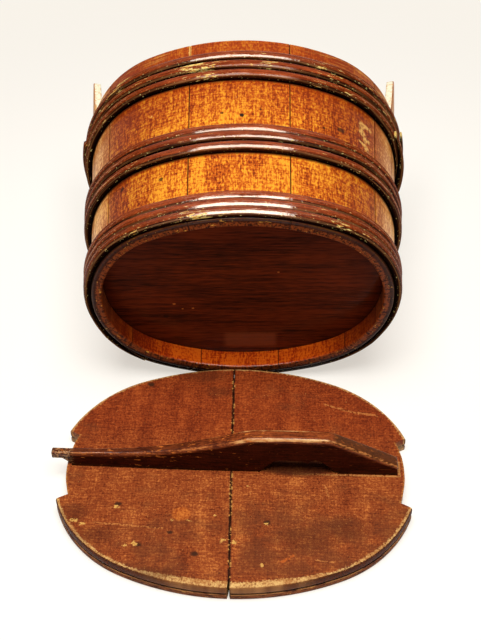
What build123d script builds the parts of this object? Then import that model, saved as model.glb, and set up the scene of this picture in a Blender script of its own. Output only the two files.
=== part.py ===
from build123d import *
import math
import os

# Oval coopered butter tub, lying on its long side, with its lid flat on the floor in front of it.
# Millimetres, +Z up, floor at z = 0. The tub's foot faces -Y and its mouth and ears face +Y.
# Angles round the oval are those of the outward normal: 0 is +X and 90 is up.

# Oval of four arcs, outside the staves at the foot; it grows evenly towards the mouth
FOOT_HALF_LENGTH = 142.4
FOOT_HALF_WIDTH = 105.1
END_RADIUS = 95.1
HEIGHT = 243.2
TAPER = 5.24                # lean of the staves, degrees
WALL_FOOT = 10.2
WALL_MOUTH = 9.4
JOINT_GAP = 0.1             # hairline between neighbouring staves
EDGE_ROUND = 1.4            # worn edges of the staves at foot and mouth

# Bottom board and the groove it stands in
BOTTOM_RECESS = 21.0
BOTTOM_THICK = 10.0
CROZE_DEPTH = 3.6
CROZE_START = 22.6
CROZE_WIDTH = 6.0

# Ears: the two end staves run on past the mouth
EAR_RISE = 79.0
EAR_TIP_HALF_WIDTH = 25.0
EAR_CORNER = 7.0
EAR_HOLE = 10.0
EAR_HOLE_RISE = 27.7        # hole centre above the mouth, level with the bar's tongue
EAR_TIP_THICK = 8.0         # the ears are thinned from inside towards the tip

# Half-round hoops: distance of each from the foot plane
HOOP_WIDTH = 9.2
HOOP_THICK = 7.5
HOOP_CLEARANCE = 0.15
HOOPS = {
    "hoop_foot_1": 7.3,
    "hoop_foot_2": 16.7,
    "hoop_foot_3": 26.1,
    "hoop_middle_1": 86.8,
    "hoop_middle_2": 100.2,
    "hoop_middle_3": 109.8,
    "hoop_mouth_1": 187.0,
    "hoop_mouth_2": 200.6,
    "hoop_mouth_3": 214.2,
}

# Stave joints round the oval, degrees
STAVES = {
    "upper_stave_right_end": (17.8, 40.0),
    "upper_stave_right": (40.0, 78.2),
    "upper_stave_middle": (78.2, 103.0),
    "upper_stave_left": (103.0, 140.9),
    "upper_stave_left_end": (140.9, 161.8),
    "lower_stave_left_end": (198.6, 223.5),
    "lower_stave_left": (223.5, 257.8),
    "lower_stave_middle": (257.8, 280.0),
    "lower_stave_right": (280.0, 308.6),
    "lower_stave_right_end": (308.6, 340.1),
}
EAR_STAVES = {
    "ear_stave_left": (161.8, 198.6),
    "ear_stave_right": (-19.9, 17.8),
}

# Lid: two boards and a carved locking bar, in the lid's own frame (x along the oval)
LID_OVERSIZE = 1.8          # past the staves at the mouth
LID_THICK = 16.2
LID_STRIP = 6.3             # height of the plain strip below the edge groove
LID_GROOVE = 1.4
LID_GROOVE_DEPTH = 1.2
LID_BEVEL_START = 14.4
LID_BEVEL_WIDTH = 1.6
NOTCH_CLEARANCE = 0.5
NOTCH_HALF_ANGLE = 19.2

BAR_FRONT = -4.0
BAR_BACK = 10.0
BAR_TONGUE_HALF = 3.5
BAR_SEAT = 2.0              # depth the bar is let into the lid
BAR_FIT = 0.05
BAR_FOOT_LEFT = (-150.5, 22.5)
BAR_FOOT_RIGHT = (94.3, 148.0)
BAR_TONGUE_TIP = -168.4
BAR_SHOULDER = -158.5       # where the tongue's underside meets the sloping end of the foot

# Where the two pieces lie, so that z = 0 below the whole row's middle is the origin
TUB_X = 1.93
TUB_Y = -35.88
LID_X = -5.57
LID_Y = -157.48
LID_YAW = -2.1

FLARE = math.tan(math.radians(TAPER))
INNER_FLARE = FLARE + (WALL_FOOT - WALL_MOUTH) / HEIGHT
INNER_TAPER = math.degrees(math.atan(INNER_FLARE))
EAR_FLARE = FLARE + (WALL_MOUTH - EAR_TIP_THICK) / EAR_RISE
EAR_TAPER = math.degrees(math.atan(EAR_FLARE))

# Centres and radius of the arcs, from the half sizes and the end radius
END_CENTRE = FOOT_HALF_LENGTH - END_RADIUS
SIDE_RADIUS = (END_CENTRE**2 + FOOT_HALF_WIDTH**2 - END_RADIUS**2) / (2 * (FOOT_HALF_WIDTH - END_RADIUS))
SIDE_CENTRE = SIDE_RADIUS - FOOT_HALF_WIDTH
SIDE_SPAN = math.degrees(math.atan2(END_CENTRE, SIDE_CENTRE))
END_SPAN = 90 - SIDE_SPAN

# The tub rests on its hoops, so its axis leans up by the staves' taper
LEAN = math.radians(TAPER)
AXIS_HEIGHT = FOOT_HALF_WIDTH * math.cos(LEAN) + HOOP_THICK * math.cos(LEAN) + 0.02
TUB = Plane(origin=(TUB_X, TUB_Y, AXIS_HEIGHT), x_dir=(1, 0, 0), z_dir=(0, math.cos(LEAN), math.sin(LEAN)))
LID = Plane(origin=(LID_X, LID_Y, 0), x_dir=Vector(1, 0, 0).rotate(Axis.Z, LID_YAW), z_dir=(0, 0, 1))

os.makedirs("parts", exist_ok=True)


def save(part, name):
    """Label a finished part and write it under its node name."""
    part.label = name
    export_step(part, f"parts/{name}.step")


def oval_arcs(grow):
    """Four arcs of the foot oval, moved outwards by `grow`."""
    CenterArc((END_CENTRE, 0), END_RADIUS + grow, -END_SPAN, 2 * END_SPAN)
    CenterArc((0, -SIDE_CENTRE), SIDE_RADIUS + grow, END_SPAN, 2 * SIDE_SPAN)
    CenterArc((-END_CENTRE, 0), END_RADIUS + grow, 180 - END_SPAN, 2 * END_SPAN)
    CenterArc((0, SIDE_CENTRE), SIDE_RADIUS + grow, -90 - SIDE_SPAN, 2 * SIDE_SPAN)


def oval_block(plane, grow, height, taper=0.0, mode=Mode.ADD):
    """Oval block standing on a plane; a negative taper leans its side outwards."""
    with BuildSketch(plane) as outline:
        with BuildLine():
            oval_arcs(grow)
        make_face()
    extrude(outline.sketch, amount=height, taper=taper, mode=mode)


def arc_at(angle):
    """Centre of the oval arc whose outward normal has this angle, in the tub plane."""
    turn = angle % 360
    if turn <= END_SPAN or turn >= 360 - END_SPAN:
        return Vector(END_CENTRE, 0)
    if abs(turn - 180) <= END_SPAN:
        return Vector(-END_CENTRE, 0)
    return Vector(0, SIDE_CENTRE) if turn < 180 else Vector(0, -SIDE_CENTRE)


def sector(start, end, height):
    """Keep only what lies between two stave joints."""
    corners = []
    for angle, side in ((start, 1), (end, -1)):
        # the tub plane's y axis points down, so angles counted upwards change sign
        out = Vector(math.cos(math.radians(angle)), -math.sin(math.radians(angle)))
        across = Vector(out.Y, -out.X) * (side * JOINT_GAP / 2)
        corners.append((arc_at(angle) + across + out * 40, arc_at(angle) + across + out * 420))
    middle = (start + end) / 2
    far = Vector(math.cos(math.radians(middle)), -math.sin(math.radians(middle))) * 600
    with BuildSketch(TUB.offset(-1)) as wedge:
        with BuildLine():
            Polyline(corners[0][0], corners[0][1], far, corners[1][1], corners[1][0], close=True)
        make_face()
    extrude(wedge.sketch, amount=height, mode=Mode.INTERSECT)


# Stave shell, tall enough for the ears, with the groove for the bottom board
TALL = HEIGHT + EAR_RISE
with BuildPart() as shell:
    oval_block(TUB, 0, TALL, -TAPER)
    oval_block(TUB, -WALL_FOOT, TALL, -INNER_TAPER, Mode.SUBTRACT)
    croze_grow = CROZE_START * INNER_FLARE - WALL_FOOT + CROZE_DEPTH
    oval_block(TUB.offset(CROZE_START), croze_grow, CROZE_WIDTH, -INNER_TAPER, Mode.SUBTRACT)
    oval_block(TUB.offset(HEIGHT), HEIGHT * FLARE - WALL_MOUTH, EAR_RISE, -EAR_TAPER, Mode.SUBTRACT)
    foot_edges = shell.edges().group_by(Axis(TUB.origin, TUB.z_dir))[0]
    fillet(foot_edges, EDGE_ROUND)

with BuildPart() as low_shell:
    add(shell.part)
    with BuildSketch(TUB.offset(HEIGHT)) as above_mouth:
        Rectangle(500, 500)
    extrude(above_mouth.sketch, amount=EAR_RISE + 10, mode=Mode.SUBTRACT)
    rim_edges = low_shell.edges().group_by(Axis(TUB.origin, TUB.z_dir))[-1]
    fillet(rim_edges, EDGE_ROUND)

for name, (start, end) in STAVES.items():
    with BuildPart() as stave:
        add(low_shell.part)
        sector(start, end, HEIGHT + 2)
    save(stave.part, name)

# Ear staves: full width up to the mouth, then narrowing to a rounded tip with a square hole
EAR_SIDE = Plane(origin=TUB.origin, x_dir=TUB.y_dir, z_dir=(1, 0, 0))
for name, (start, end) in EAR_STAVES.items():
    with BuildPart() as ear_stave:
        add(shell.part)
        sector(start, end, TALL + 2)
        with BuildSketch(EAR_SIDE) as ear_outline:
            with BuildLine():
                Polyline(
                    (-60, -1),
                    (60, -1),
                    (60, HEIGHT),
                    (37.5, HEIGHT),
                    (EAR_TIP_HALF_WIDTH, TALL),
                    (-EAR_TIP_HALF_WIDTH, TALL),
                    (-37.5, HEIGHT),
                    (-60, HEIGHT),
                    close=True,
                )
            make_face()
            fillet(ear_outline.vertices().group_by(Axis.Y)[-1], EAR_CORNER)
        extrude(ear_outline.sketch, amount=300, both=True, mode=Mode.INTERSECT)
        with BuildSketch(EAR_SIDE) as ear_hole:
            with Locations((0, HEIGHT + EAR_HOLE_RISE)):
                Rectangle(EAR_HOLE, EAR_HOLE)
        extrude(ear_hole.sketch, amount=300, both=True, mode=Mode.SUBTRACT)
    save(ear_stave.part, name)

# Bottom board: a single board whose thinned edge stands in the groove
with BuildPart() as bottom_board:
    board_grow = BOTTOM_RECESS * INNER_FLARE - WALL_FOOT - 0.2
    oval_block(TUB.offset(BOTTOM_RECESS), board_grow, BOTTOM_THICK, -INNER_TAPER)
    oval_block(TUB.offset(CROZE_START + 0.1), croze_grow - 0.15, CROZE_WIDTH - 0.2, -INNER_TAPER)
save(bottom_board.part, "bottom_board")

# Hoops: a D-shaped section swept round the staves
for name, distance in HOOPS.items():
    with BuildPart() as hoop:
        with BuildLine(TUB.offset(distance)) as path:
            oval_arcs(distance * FLARE)
        outward = TUB.x_dir * math.cos(math.radians(-END_SPAN)) + TUB.y_dir * math.sin(math.radians(-END_SPAN))
        section_plane = Plane(origin=path.line @ 0, x_dir=outward, z_dir=(path.line % 0) * -1)
        half = HOOP_WIDTH / 2
        with BuildSketch(section_plane):
            with BuildLine():
                Polyline(
                    (HOOP_THICK - half, half),
                    (HOOP_CLEARANCE + half * FLARE, half),
                    (HOOP_CLEARANCE - half * FLARE, -half),
                    (HOOP_THICK - half, -half),
                )
                ThreePointArc((HOOP_THICK - half, -half), (HOOP_THICK, 0), (HOOP_THICK - half, half))
            make_face()
        sweep(path=path.line)
    save(hoop.part, name)

# Lid blank: plain strip, edge groove, then an upright edge with a small bevel at the top
MOUTH_GROW = HEIGHT * FLARE + LID_OVERSIZE
BEVEL_TAPER = math.degrees(math.atan(LID_BEVEL_WIDTH / (LID_THICK - LID_BEVEL_START)))
with BuildPart() as lid_blank:
    oval_block(LID, MOUTH_GROW, LID_STRIP)
    oval_block(LID, MOUTH_GROW - LID_GROOVE_DEPTH, LID_STRIP + LID_GROOVE)
    oval_block(LID.offset(LID_STRIP + LID_GROOVE), MOUTH_GROW, LID_BEVEL_START - LID_STRIP - LID_GROOVE)
    oval_block(LID.offset(LID_BEVEL_START), MOUTH_GROW, LID_THICK - LID_BEVEL_START, BEVEL_TAPER)
    # notches that pass the ears
    notch_radius = END_RADIUS + HEIGHT * INNER_FLARE - WALL_FOOT - NOTCH_CLEARANCE
    for side in (1, -1):
        notch_x = notch_radius * math.cos(math.radians(NOTCH_HALF_ANGLE)) + END_CENTRE
        notch_y = notch_radius * math.sin(math.radians(NOTCH_HALF_ANGLE))
        with BuildSketch(LID) as notch:
            with BuildLine():
                Polyline(
                    (side * notch_x, -notch_y),
                    (side * (notch_x + 24), -notch_y - 13),
                    (side * (notch_x + 24), notch_y + 13),
                    (side * notch_x, notch_y),
                )
                ThreePointArc(
                    (side * notch_x, notch_y),
                    (side * (END_CENTRE + notch_radius), 0),
                    (side * notch_x, -notch_y),
                )
            make_face()
        extrude(notch.sketch, amount=LID_THICK, mode=Mode.SUBTRACT)
    # seats for the two feet of the bar
    for foot in (BAR_FOOT_LEFT, BAR_FOOT_RIGHT):
        with BuildSketch(LID.offset(LID_THICK - BAR_SEAT - BAR_FIT)) as seat:
            with BuildLine():
                Polyline(
                    (foot[0] - BAR_FIT, BAR_FRONT - BAR_FIT),
                    (foot[1] + BAR_FIT, BAR_FRONT - BAR_FIT),
                    (foot[1] + BAR_FIT, BAR_BACK + BAR_FIT),
                    (foot[0] - BAR_FIT, BAR_BACK + BAR_FIT),
                    close=True,
                )
            make_face()
        extrude(seat.sketch, amount=BAR_SEAT + 1, mode=Mode.SUBTRACT)

# Lid boards: the joint between them opens into a V at the front edge
LID_BOARDS = {
    "lid_board_left": [(-6.7, 140), (-0.1, -96), (-1.8, -140), (-180, -140), (-180, 140)],
    "lid_board_right": [(-6.1, 140), (0.5, -96), (3.6, -140), (180, -140), (180, 140)],
}
for name, corners in LID_BOARDS.items():
    with BuildPart() as lid_board:
        add(lid_blank.part)
        with BuildSketch(LID) as half_lid:
            with BuildLine():
                Polyline(*corners, close=True)
            make_face()
        extrude(half_lid.sketch, amount=LID_THICK + 1, mode=Mode.INTERSECT)
    save(lid_board.part, name)

# Locking bar: a tongue at one end, a finger grip in the middle, a long slope at the other end
SEAT = LID_THICK - BAR_SEAT
BAR_SIDE = Plane(origin=LID.origin, x_dir=LID.x_dir, z_dir=LID.y_dir * -1)
with BuildPart() as lid_bar:
    with BuildSketch(BAR_SIDE) as bar_side:
        with BuildLine():
            Polyline(
                (BAR_FOOT_LEFT[0], SEAT),
                (BAR_FOOT_LEFT[0], LID_THICK + 0.8),
                (BAR_SHOULDER, 24.2),
                (BAR_TONGUE_TIP, 24.2),
                (BAR_TONGUE_TIP, 31.2),
                (-124, 31.6),
                (-87.5, 34.2),
                (-55.6, 39.0),
                (-19, 48.0),
                (12, 58.2),
                (49.7, 59.2),
                (85, 59.0),
                (90, 57.0),
                (BAR_FOOT_RIGHT[1], 27.0),
                (BAR_FOOT_RIGHT[1], SEAT),
                (BAR_FOOT_RIGHT[0], SEAT),
                (BAR_FOOT_RIGHT[0], LID_THICK),
                (78, 32.6),
                (66.5, 31.0),
                (36, 31.7),
                (BAR_FOOT_LEFT[1], LID_THICK),
                (BAR_FOOT_LEFT[1], SEAT),
                close=True,
            )
        make_face()
    extrude(bar_side.sketch, amount=20, both=True)
    middle = (BAR_FRONT + BAR_BACK) / 2
    with BuildSketch(LID) as bar_plan:
        with BuildLine():
            Polyline(
                (BAR_TONGUE_TIP - 1, middle - BAR_TONGUE_HALF),
                (BAR_FOOT_LEFT[0], middle - BAR_TONGUE_HALF),
                (0, BAR_FRONT),
                (BAR_FOOT_RIGHT[1] + 1, BAR_FRONT),
                (BAR_FOOT_RIGHT[1] + 1, BAR_BACK),
                (0, BAR_BACK),
                (BAR_FOOT_LEFT[0], middle + BAR_TONGUE_HALF),
                (BAR_TONGUE_TIP - 1, middle + BAR_TONGUE_HALF),
                close=True,
            )
        make_face()
    extrude(bar_plan.sketch, amount=80, mode=Mode.INTERSECT)
save(lid_bar.part, "lid_bar")
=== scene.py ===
"""Looks of the oval butter tub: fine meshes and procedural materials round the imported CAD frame.

Lengths are in millimetres until a mesh is made; the frame itself is in metres.
Angles round the oval are those of the outward normal: 0 is +X and 90 is up.
"""

import functools
import math

import bmesh
import bpy
import numpy as np
from mathutils import Matrix, Vector


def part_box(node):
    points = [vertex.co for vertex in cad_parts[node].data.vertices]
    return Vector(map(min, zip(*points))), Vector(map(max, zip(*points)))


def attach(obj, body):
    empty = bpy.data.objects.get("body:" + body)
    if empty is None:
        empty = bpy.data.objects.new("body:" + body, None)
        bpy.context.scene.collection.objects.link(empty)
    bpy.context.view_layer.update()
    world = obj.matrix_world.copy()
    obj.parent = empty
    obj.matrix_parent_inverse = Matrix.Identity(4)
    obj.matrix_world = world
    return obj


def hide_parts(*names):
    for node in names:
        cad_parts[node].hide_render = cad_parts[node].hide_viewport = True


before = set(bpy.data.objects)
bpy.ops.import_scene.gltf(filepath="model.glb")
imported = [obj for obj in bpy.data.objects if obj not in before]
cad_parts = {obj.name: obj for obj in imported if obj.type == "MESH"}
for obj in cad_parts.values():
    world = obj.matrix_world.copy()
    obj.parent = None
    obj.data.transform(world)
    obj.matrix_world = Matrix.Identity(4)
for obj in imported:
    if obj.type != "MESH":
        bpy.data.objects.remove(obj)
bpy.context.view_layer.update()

# ---------------------------------------------------------------- dimensions shared with the CAD
HEIGHT = 243.2
TAPER = math.radians(5.24)
FOOT_HALF_LENGTH, FOOT_HALF_WIDTH, END_RADIUS = 142.4, 105.1, 95.1
WALL_FOOT, WALL_MOUTH = 10.2, 9.4
BOTTOM_RECESS, BOTTOM_THICK = 21.0, 10.0
CROZE_START, CROZE_WIDTH, CROZE_DEPTH = 22.6, 6.0, 3.6
EAR_RISE, EAR_BASE_HALF, EAR_TIP_HALF, EAR_CORNER = 79.0, 37.5, 25.0, 7.0
EAR_HOLE, EAR_HOLE_RISE, EAR_TIP_THICK = 10.0, 27.7, 8.0
HOOP_WIDTH, HOOP_THICK, HOOP_LIFT = 9.2, 7.5, 0.15
LID_THICK, LID_OVERSIZE = 16.2, 1.8
LID_YAW = math.radians(-2.1)
NOTCH_HALF_ANGLE, NOTCH_CLEARANCE = 19.2, 0.5
BAR_FRONT, BAR_BACK, BAR_SEAT, BAR_FIT = -4.0, 10.0, 2.0, 0.05
BAR_TIP, BAR_END = -168.4, 148.0
BAR_FEET = ((-150.5, 22.5), (94.3, BAR_END))

FLARE = math.tan(TAPER)
INNER_FLARE = FLARE + (WALL_FOOT - WALL_MOUTH) / HEIGHT
EAR_FLARE = FLARE + (WALL_MOUTH - EAR_TIP_THICK) / EAR_RISE
TALL = HEIGHT + EAR_RISE
CROZE_END = CROZE_START + CROZE_WIDTH
END_CENTRE = FOOT_HALF_LENGTH - END_RADIUS
SIDE_RADIUS = (END_CENTRE**2 + FOOT_HALF_WIDTH**2 - END_RADIUS**2) / (2 * (FOOT_HALF_WIDTH - END_RADIUS))
SIDE_CENTRE = SIDE_RADIUS - FOOT_HALF_WIDTH
END_SPAN = math.pi / 2 - math.atan2(END_CENTRE, SIDE_CENTRE)
LID_GROW = HEIGHT * FLARE + LID_OVERSIZE
EAR_HOLE_TURN = math.asin(EAR_HOLE / 2 / (END_RADIUS + (HEIGHT + EAR_HOLE_RISE) * FLARE))
NOTCH_RADIUS = END_RADIUS + HEIGHT * INNER_FLARE - WALL_FOOT - NOTCH_CLEARANCE
BAR_MIDDLE = (BAR_FRONT + BAR_BACK) / 2
# added to x below the tub's middle, so that marks made for the upper side aren't repeated there
LOWER_SIDE = 1000.0

# joints on both sides of each stave, degrees
STAVES = {
    "upper_stave_right_end": (17.8, 40.0),
    "upper_stave_right": (40.0, 78.2),
    "upper_stave_middle": (78.2, 103.0),
    "upper_stave_left": (103.0, 140.9),
    "upper_stave_left_end": (140.9, 161.8),
    "ear_stave_left": (161.8, 198.6),
    "lower_stave_left_end": (198.6, 223.5),
    "lower_stave_left": (223.5, 257.8),
    "lower_stave_middle": (257.8, 280.0),
    "lower_stave_right": (280.0, 308.6),
    "lower_stave_right_end": (308.6, 340.1),
    "ear_stave_right": (-19.9, 17.8),
}

# distance from the foot, lap (angle of its middle, length, how proud its end stands),
# share of lacquer left, and worn places (angle, spread in degrees, strength)
HOOPS = {
    "hoop_foot_1": (7.3, (226, 46, 0.6), 1.0, [(101, 5, 0.20), (118, 4, 0.08), (66, 4, 0.16), (52, 5, 0.12),
                                               (140, 6, 0.08), (30, 10, 0.07)]),
    "hoop_foot_2": (16.7, (314, 50, 0.6), 1.0, [(70, 5, 0.08)]),
    "hoop_foot_3": (26.1, (232, 48, 0.7), 1.0, []),
    "hoop_middle_1": (86.8, (318, 50, 0.7), 0.7, [(118, 4, 0.10), (52, 4, 0.08), (28, 8, 0.07)]),
    "hoop_middle_2": (100.2, (220, 52, 0.7), 0.7, []),
    "hoop_middle_3": (109.8, (325, 50, 0.6), 0.7, [(60, 4, 0.12), (156, 8, 0.06)]),
    "hoop_mouth_1": (187.0, (7, 62, 3.2), 0.22, [(98, 5, 0.16), (72, 4, 0.12), (60, 5, 0.08), (150, 16, 0.09),
                                                 (24, 12, 0.09)]),
    "hoop_mouth_2": (200.6, (183, 60, 3.0), 0.2, [(101, 7, 0.22), (84, 5, 0.15), (66, 6, 0.10),
                                                  (140, 20, 0.11), (34, 14, 0.11)]),
    "hoop_mouth_3": (214.2, (-3, 58, 2.6), 0.75, [(86, 8, 0.05), (68, 6, 0.12), (45, 9, 0.14), (128, 8, 0.16),
                                                  (152, 14, 0.12), (22, 10, 0.09)]),
}
# how far each band sags towards the foot on the upper side, and how much thinner it is there
SAG = {"foot": (2.0, 1.2), "middle": (0.9, 0.0), "mouth": (0.6, 0.0)}


# ---------------------------------------------------------------- where the two pieces lie, from the frame
def box_middle(node):
    """Middle of a CAD node's box, millimetres."""
    low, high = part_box(node)
    return [(a + b) * 500 for a, b in zip(low, high)]


FOOT_HOOP = HOOPS["hoop_foot_1"][0]
TUB_X = box_middle("hoop_mouth_3")[0]
TUB_Y = box_middle("hoop_foot_1")[1] - FOOT_HOOP * math.cos(TAPER)
TUB_Z = box_middle("hoop_foot_1")[2] - FOOT_HOOP * math.sin(TAPER)
# the bar's two ends give the lid's place along the oval, and the boards the place across it
LID_X = box_middle("lid_bar")[0]
LID_X += BAR_MIDDLE * math.sin(LID_YAW) - (BAR_TIP + BAR_END) / 2 * math.cos(LID_YAW)
low_l, high_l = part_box("lid_board_left")
low_r, high_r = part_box("lid_board_right")
LID_Y = (min(low_l.y, low_r.y) + max(high_l.y, high_r.y)) * 500


def tub_point(x, up, axial):
    """Tub coordinates (along the oval, up across it, along the axis) to the row frame."""
    c, s = math.cos(TAPER), math.sin(TAPER)
    return np.stack([TUB_X + x, TUB_Y - up * s + axial * c, TUB_Z + up * c + axial * s], -1)


def lid_point(x, y, z):
    """Lid coordinates to the row frame."""
    c, s = math.cos(LID_YAW), math.sin(LID_YAW)
    return np.stack([LID_X + c * x - s * y, LID_Y + s * x + c * y, z + 0 * x], -1)


# ---------------------------------------------------------------- seeded noise on numpy arrays
def lattice(ix, iy, iz, seed):
    """A fixed value from 0 to 1 for each whole-numbered place."""
    h = (ix * 374761393 + iy * 668265263 + iz * 2147483647 + seed * 1274126177) & 0xFFFFFFFF
    h = ((h ^ (h >> 13)) * 1274126177) & 0xFFFFFFFF
    h = ((h ^ (h >> 16)) * 2246822519) & 0xFFFFFFFF
    return ((h ^ (h >> 15)) & 0xFFFFFF) / float(0xFFFFFF)


def value_noise(x, y, z, seed):
    """Smooth noise from -1 to 1."""
    x, y, z = np.broadcast_arrays(np.asarray(x, float), np.asarray(y, float), np.asarray(z, float))
    fx, fy, fz = np.floor(x), np.floor(y), np.floor(z)
    ix, iy, iz = fx.astype(np.int64), fy.astype(np.int64), fz.astype(np.int64)
    tx, ty, tz = (t * t * (3 - 2 * t) for t in (x - fx, y - fy, z - fz))
    total = np.zeros(x.shape)
    for dx in (0, 1):
        for dy in (0, 1):
            for dz in (0, 1):
                w = (tx if dx else 1 - tx) * (ty if dy else 1 - ty) * (tz if dz else 1 - tz)
                total += w * lattice(ix + dx, iy + dy, iz + dz, seed)
    return total * 2 - 1


def rough(x, y, z, size, seed):
    """Sum of three noises, the largest about `size` millimetres across."""
    total, amp, norm = 0.0, 1.0, 0.0
    for k in range(3):
        f = 2.0**k / size
        total = total + amp * value_noise(x * f, y * f, z * f, seed + 17 * k)
        norm += amp
        amp *= 0.5
    return total / norm


def smooth(a, b, x):
    """0 at a, 1 at b, with a soft start and end."""
    t = np.clip((x - a) / (b - a), 0, 1)
    return t * t * (3 - 2 * t)


def edge_round(distance, radius):
    """How far a surface falls back at this distance from a rounded edge."""
    d = np.clip(distance, 0, radius)
    return radius - np.sqrt(radius**2 - (radius - d) ** 2)


# ---------------------------------------------------------------- the oval
def oval(phi, grow):
    """Point on the foot oval grown by `grow`, for an outward normal at angle phi (radians)."""
    phi, grow = np.broadcast_arrays(np.asarray(phi, float), np.asarray(grow, float))
    turn = np.mod(phi, 2 * math.pi)
    right = (turn <= END_SPAN) | (turn >= 2 * math.pi - END_SPAN)
    left = np.abs(turn - math.pi) <= END_SPAN
    top = ~right & ~left & (turn < math.pi)
    cx = np.where(right, END_CENTRE, np.where(left, -END_CENTRE, 0.0))
    cu = np.where(right | left, 0.0, np.where(top, -SIDE_CENTRE, SIDE_CENTRE))
    radius = np.where(right | left, END_RADIUS, SIDE_RADIUS) + grow
    return cx + radius * np.cos(phi), cu + radius * np.sin(phi)


FINE_PHI = np.linspace(-math.pi, 5 * math.pi, 30001)
fine_x, fine_up = oval(FINE_PHI, 0.0)
FINE_ARC = np.concatenate([[0], np.cumsum(np.hypot(np.diff(fine_x), np.diff(fine_up)))])


def arc_of(phi):
    """Length round the foot oval to the point with this normal."""
    return float(np.interp(phi, FINE_PHI, FINE_ARC))


def phi_of(arc):
    """Normal at a length round the foot oval."""
    return np.interp(arc, FINE_ARC, FINE_PHI)


ONCE_ROUND = arc_of(2 * math.pi) - arc_of(0.0)


def inward(x, y, grow):
    """Distance of a point inside the oval from its outline."""
    ax, ay = np.abs(x), np.abs(y)
    from_end = END_RADIUS + grow - np.hypot(ax - END_CENTRE, ay)
    from_side = SIDE_RADIUS + grow - np.hypot(ax, ay + SIDE_CENTRE)
    in_end = np.arctan2(ay, ax - END_CENTRE) < END_SPAN
    return np.where(in_end & (ax > END_CENTRE), from_end, from_side)


# ---------------------------------------------------------------- meshes
def smooth_shaded(mesh, angle):
    mesh.shade_smooth()
    mesh.set_sharp_from_angle(angle=math.radians(angle))


def new_object(name, points, faces, angle=38):
    mesh = bpy.data.meshes.new(name)
    metres = np.asarray(points, float) / 1000
    mesh.from_pydata(metres.tolist(), [], [tuple(int(i) for i in face) for face in faces])
    mesh.validate()
    obj = bpy.data.objects.new(name, mesh)
    bpy.context.scene.collection.objects.link(obj)
    bm = bmesh.new()
    bm.from_mesh(mesh)
    bmesh.ops.recalc_face_normals(bm, faces=bm.faces)
    bm.to_mesh(mesh)
    bm.free()
    smooth_shaded(mesh, angle)
    return obj


def give(obj, name, values, kept=None):
    """Per-vertex vector that a material reads; `kept` picks the vertices that are in the mesh."""
    vectors = np.stack(np.broadcast_arrays(*values), -1)
    if kept is not None:
        vectors = vectors[kept]
    layer = obj.data.attributes.new(name, "FLOAT_VECTOR", "POINT")
    layer.data.foreach_set("vector", vectors.astype(np.float32).ravel())


def stand_for(obj, node, body):
    """Put the piece in the place of a CAD node."""
    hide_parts(node)
    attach(obj, body)
    return obj


def quads(grid, skip=None):
    """Faces of a grid of vertex numbers; skip=(a0, a1, b0, b1) leaves an opening."""
    found = []
    for a in range(grid.shape[0] - 1):
        for b in range(grid.shape[1] - 1):
            if not (skip and skip[0] <= a < skip[1] and skip[2] <= b < skip[3]):
                found.append((grid[a, b], grid[a + 1, b], grid[a + 1, b + 1], grid[a, b + 1]))
    return found


def tube(count, each):
    """Faces of a closed tube of `count` rings with `each` points, and a face over both ends."""
    grid = np.arange(count * each).reshape(count, each)
    return quads(np.c_[grid, grid[:, 0]]) + [tuple(grid[0]), tuple(grid[-1][::-1])]


def box_grid(points, hole=None):
    """The outside of a structured grid points[i, j, k]; hole=(i0, i1, k0, k1) is cut through j."""
    shell = np.zeros(points.shape[:3], bool)
    shell[[0, -1]] = shell[:, [0, -1]] = True
    shell[:, :, [0, -1]] = True
    if hole:
        i0, i1, k0, k1 = hole
        shell[i0 + 1 : i1, :, k0 + 1 : k1] = False
        shell[i0 : i1 + 1, :, k0] = shell[i0 : i1 + 1, :, k1] = True
        shell[i0, :, k0 : k1 + 1] = shell[i1, :, k0 : k1 + 1] = True
    index = -np.ones(shell.shape, int)
    index[shell] = np.arange(shell.sum())
    faces = quads(index[:, 0, :], hole) + quads(index[:, -1, :], hole)
    sides = [index[0], index[-1], index[:, :, 0], index[:, :, -1]]
    if hole:
        sides += [index[i, :, k0 : k1 + 1] for i in (i0, i1)]
        sides += [index[i0 : i1 + 1, :, k] for k in (k0, k1)]
    for side in sides:
        faces += quads(side)
    return points[shell], faces, shell


def spaced(a, b, step, extra=(), ends=()):
    """Values from a to b about `step` apart, with extra ones and finer ones near both ends."""
    base = list(np.linspace(a, b, max(2, int(round((b - a) / step)) + 1)))
    near = [a + e for e in ends] + [b - e for e in ends]
    keep = [v for v in base if all(abs(v - e) > 0.35 * step for e in list(extra) + near) or v in (a, b)]
    return np.array(sorted(set(keep) | set(extra) | set(near)))


# ---------------------------------------------------------------- the tub
def hoop_shade(axial):
    """1 right beside a hoop, falling off over a few millimetres, more on the foot side."""
    worst = np.zeros_like(axial)
    for centre, *_ in HOOPS.values():
        below = np.clip(1 - (centre - HOOP_WIDTH / 2 - axial) / 5.0, 0, 1) * (axial < centre)
        above = np.clip(1 - (axial - centre - HOOP_WIDTH / 2) / 2.0, 0, 1) * (axial >= centre)
        worst = np.maximum(worst, np.maximum(below, above))
    return worst


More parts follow.
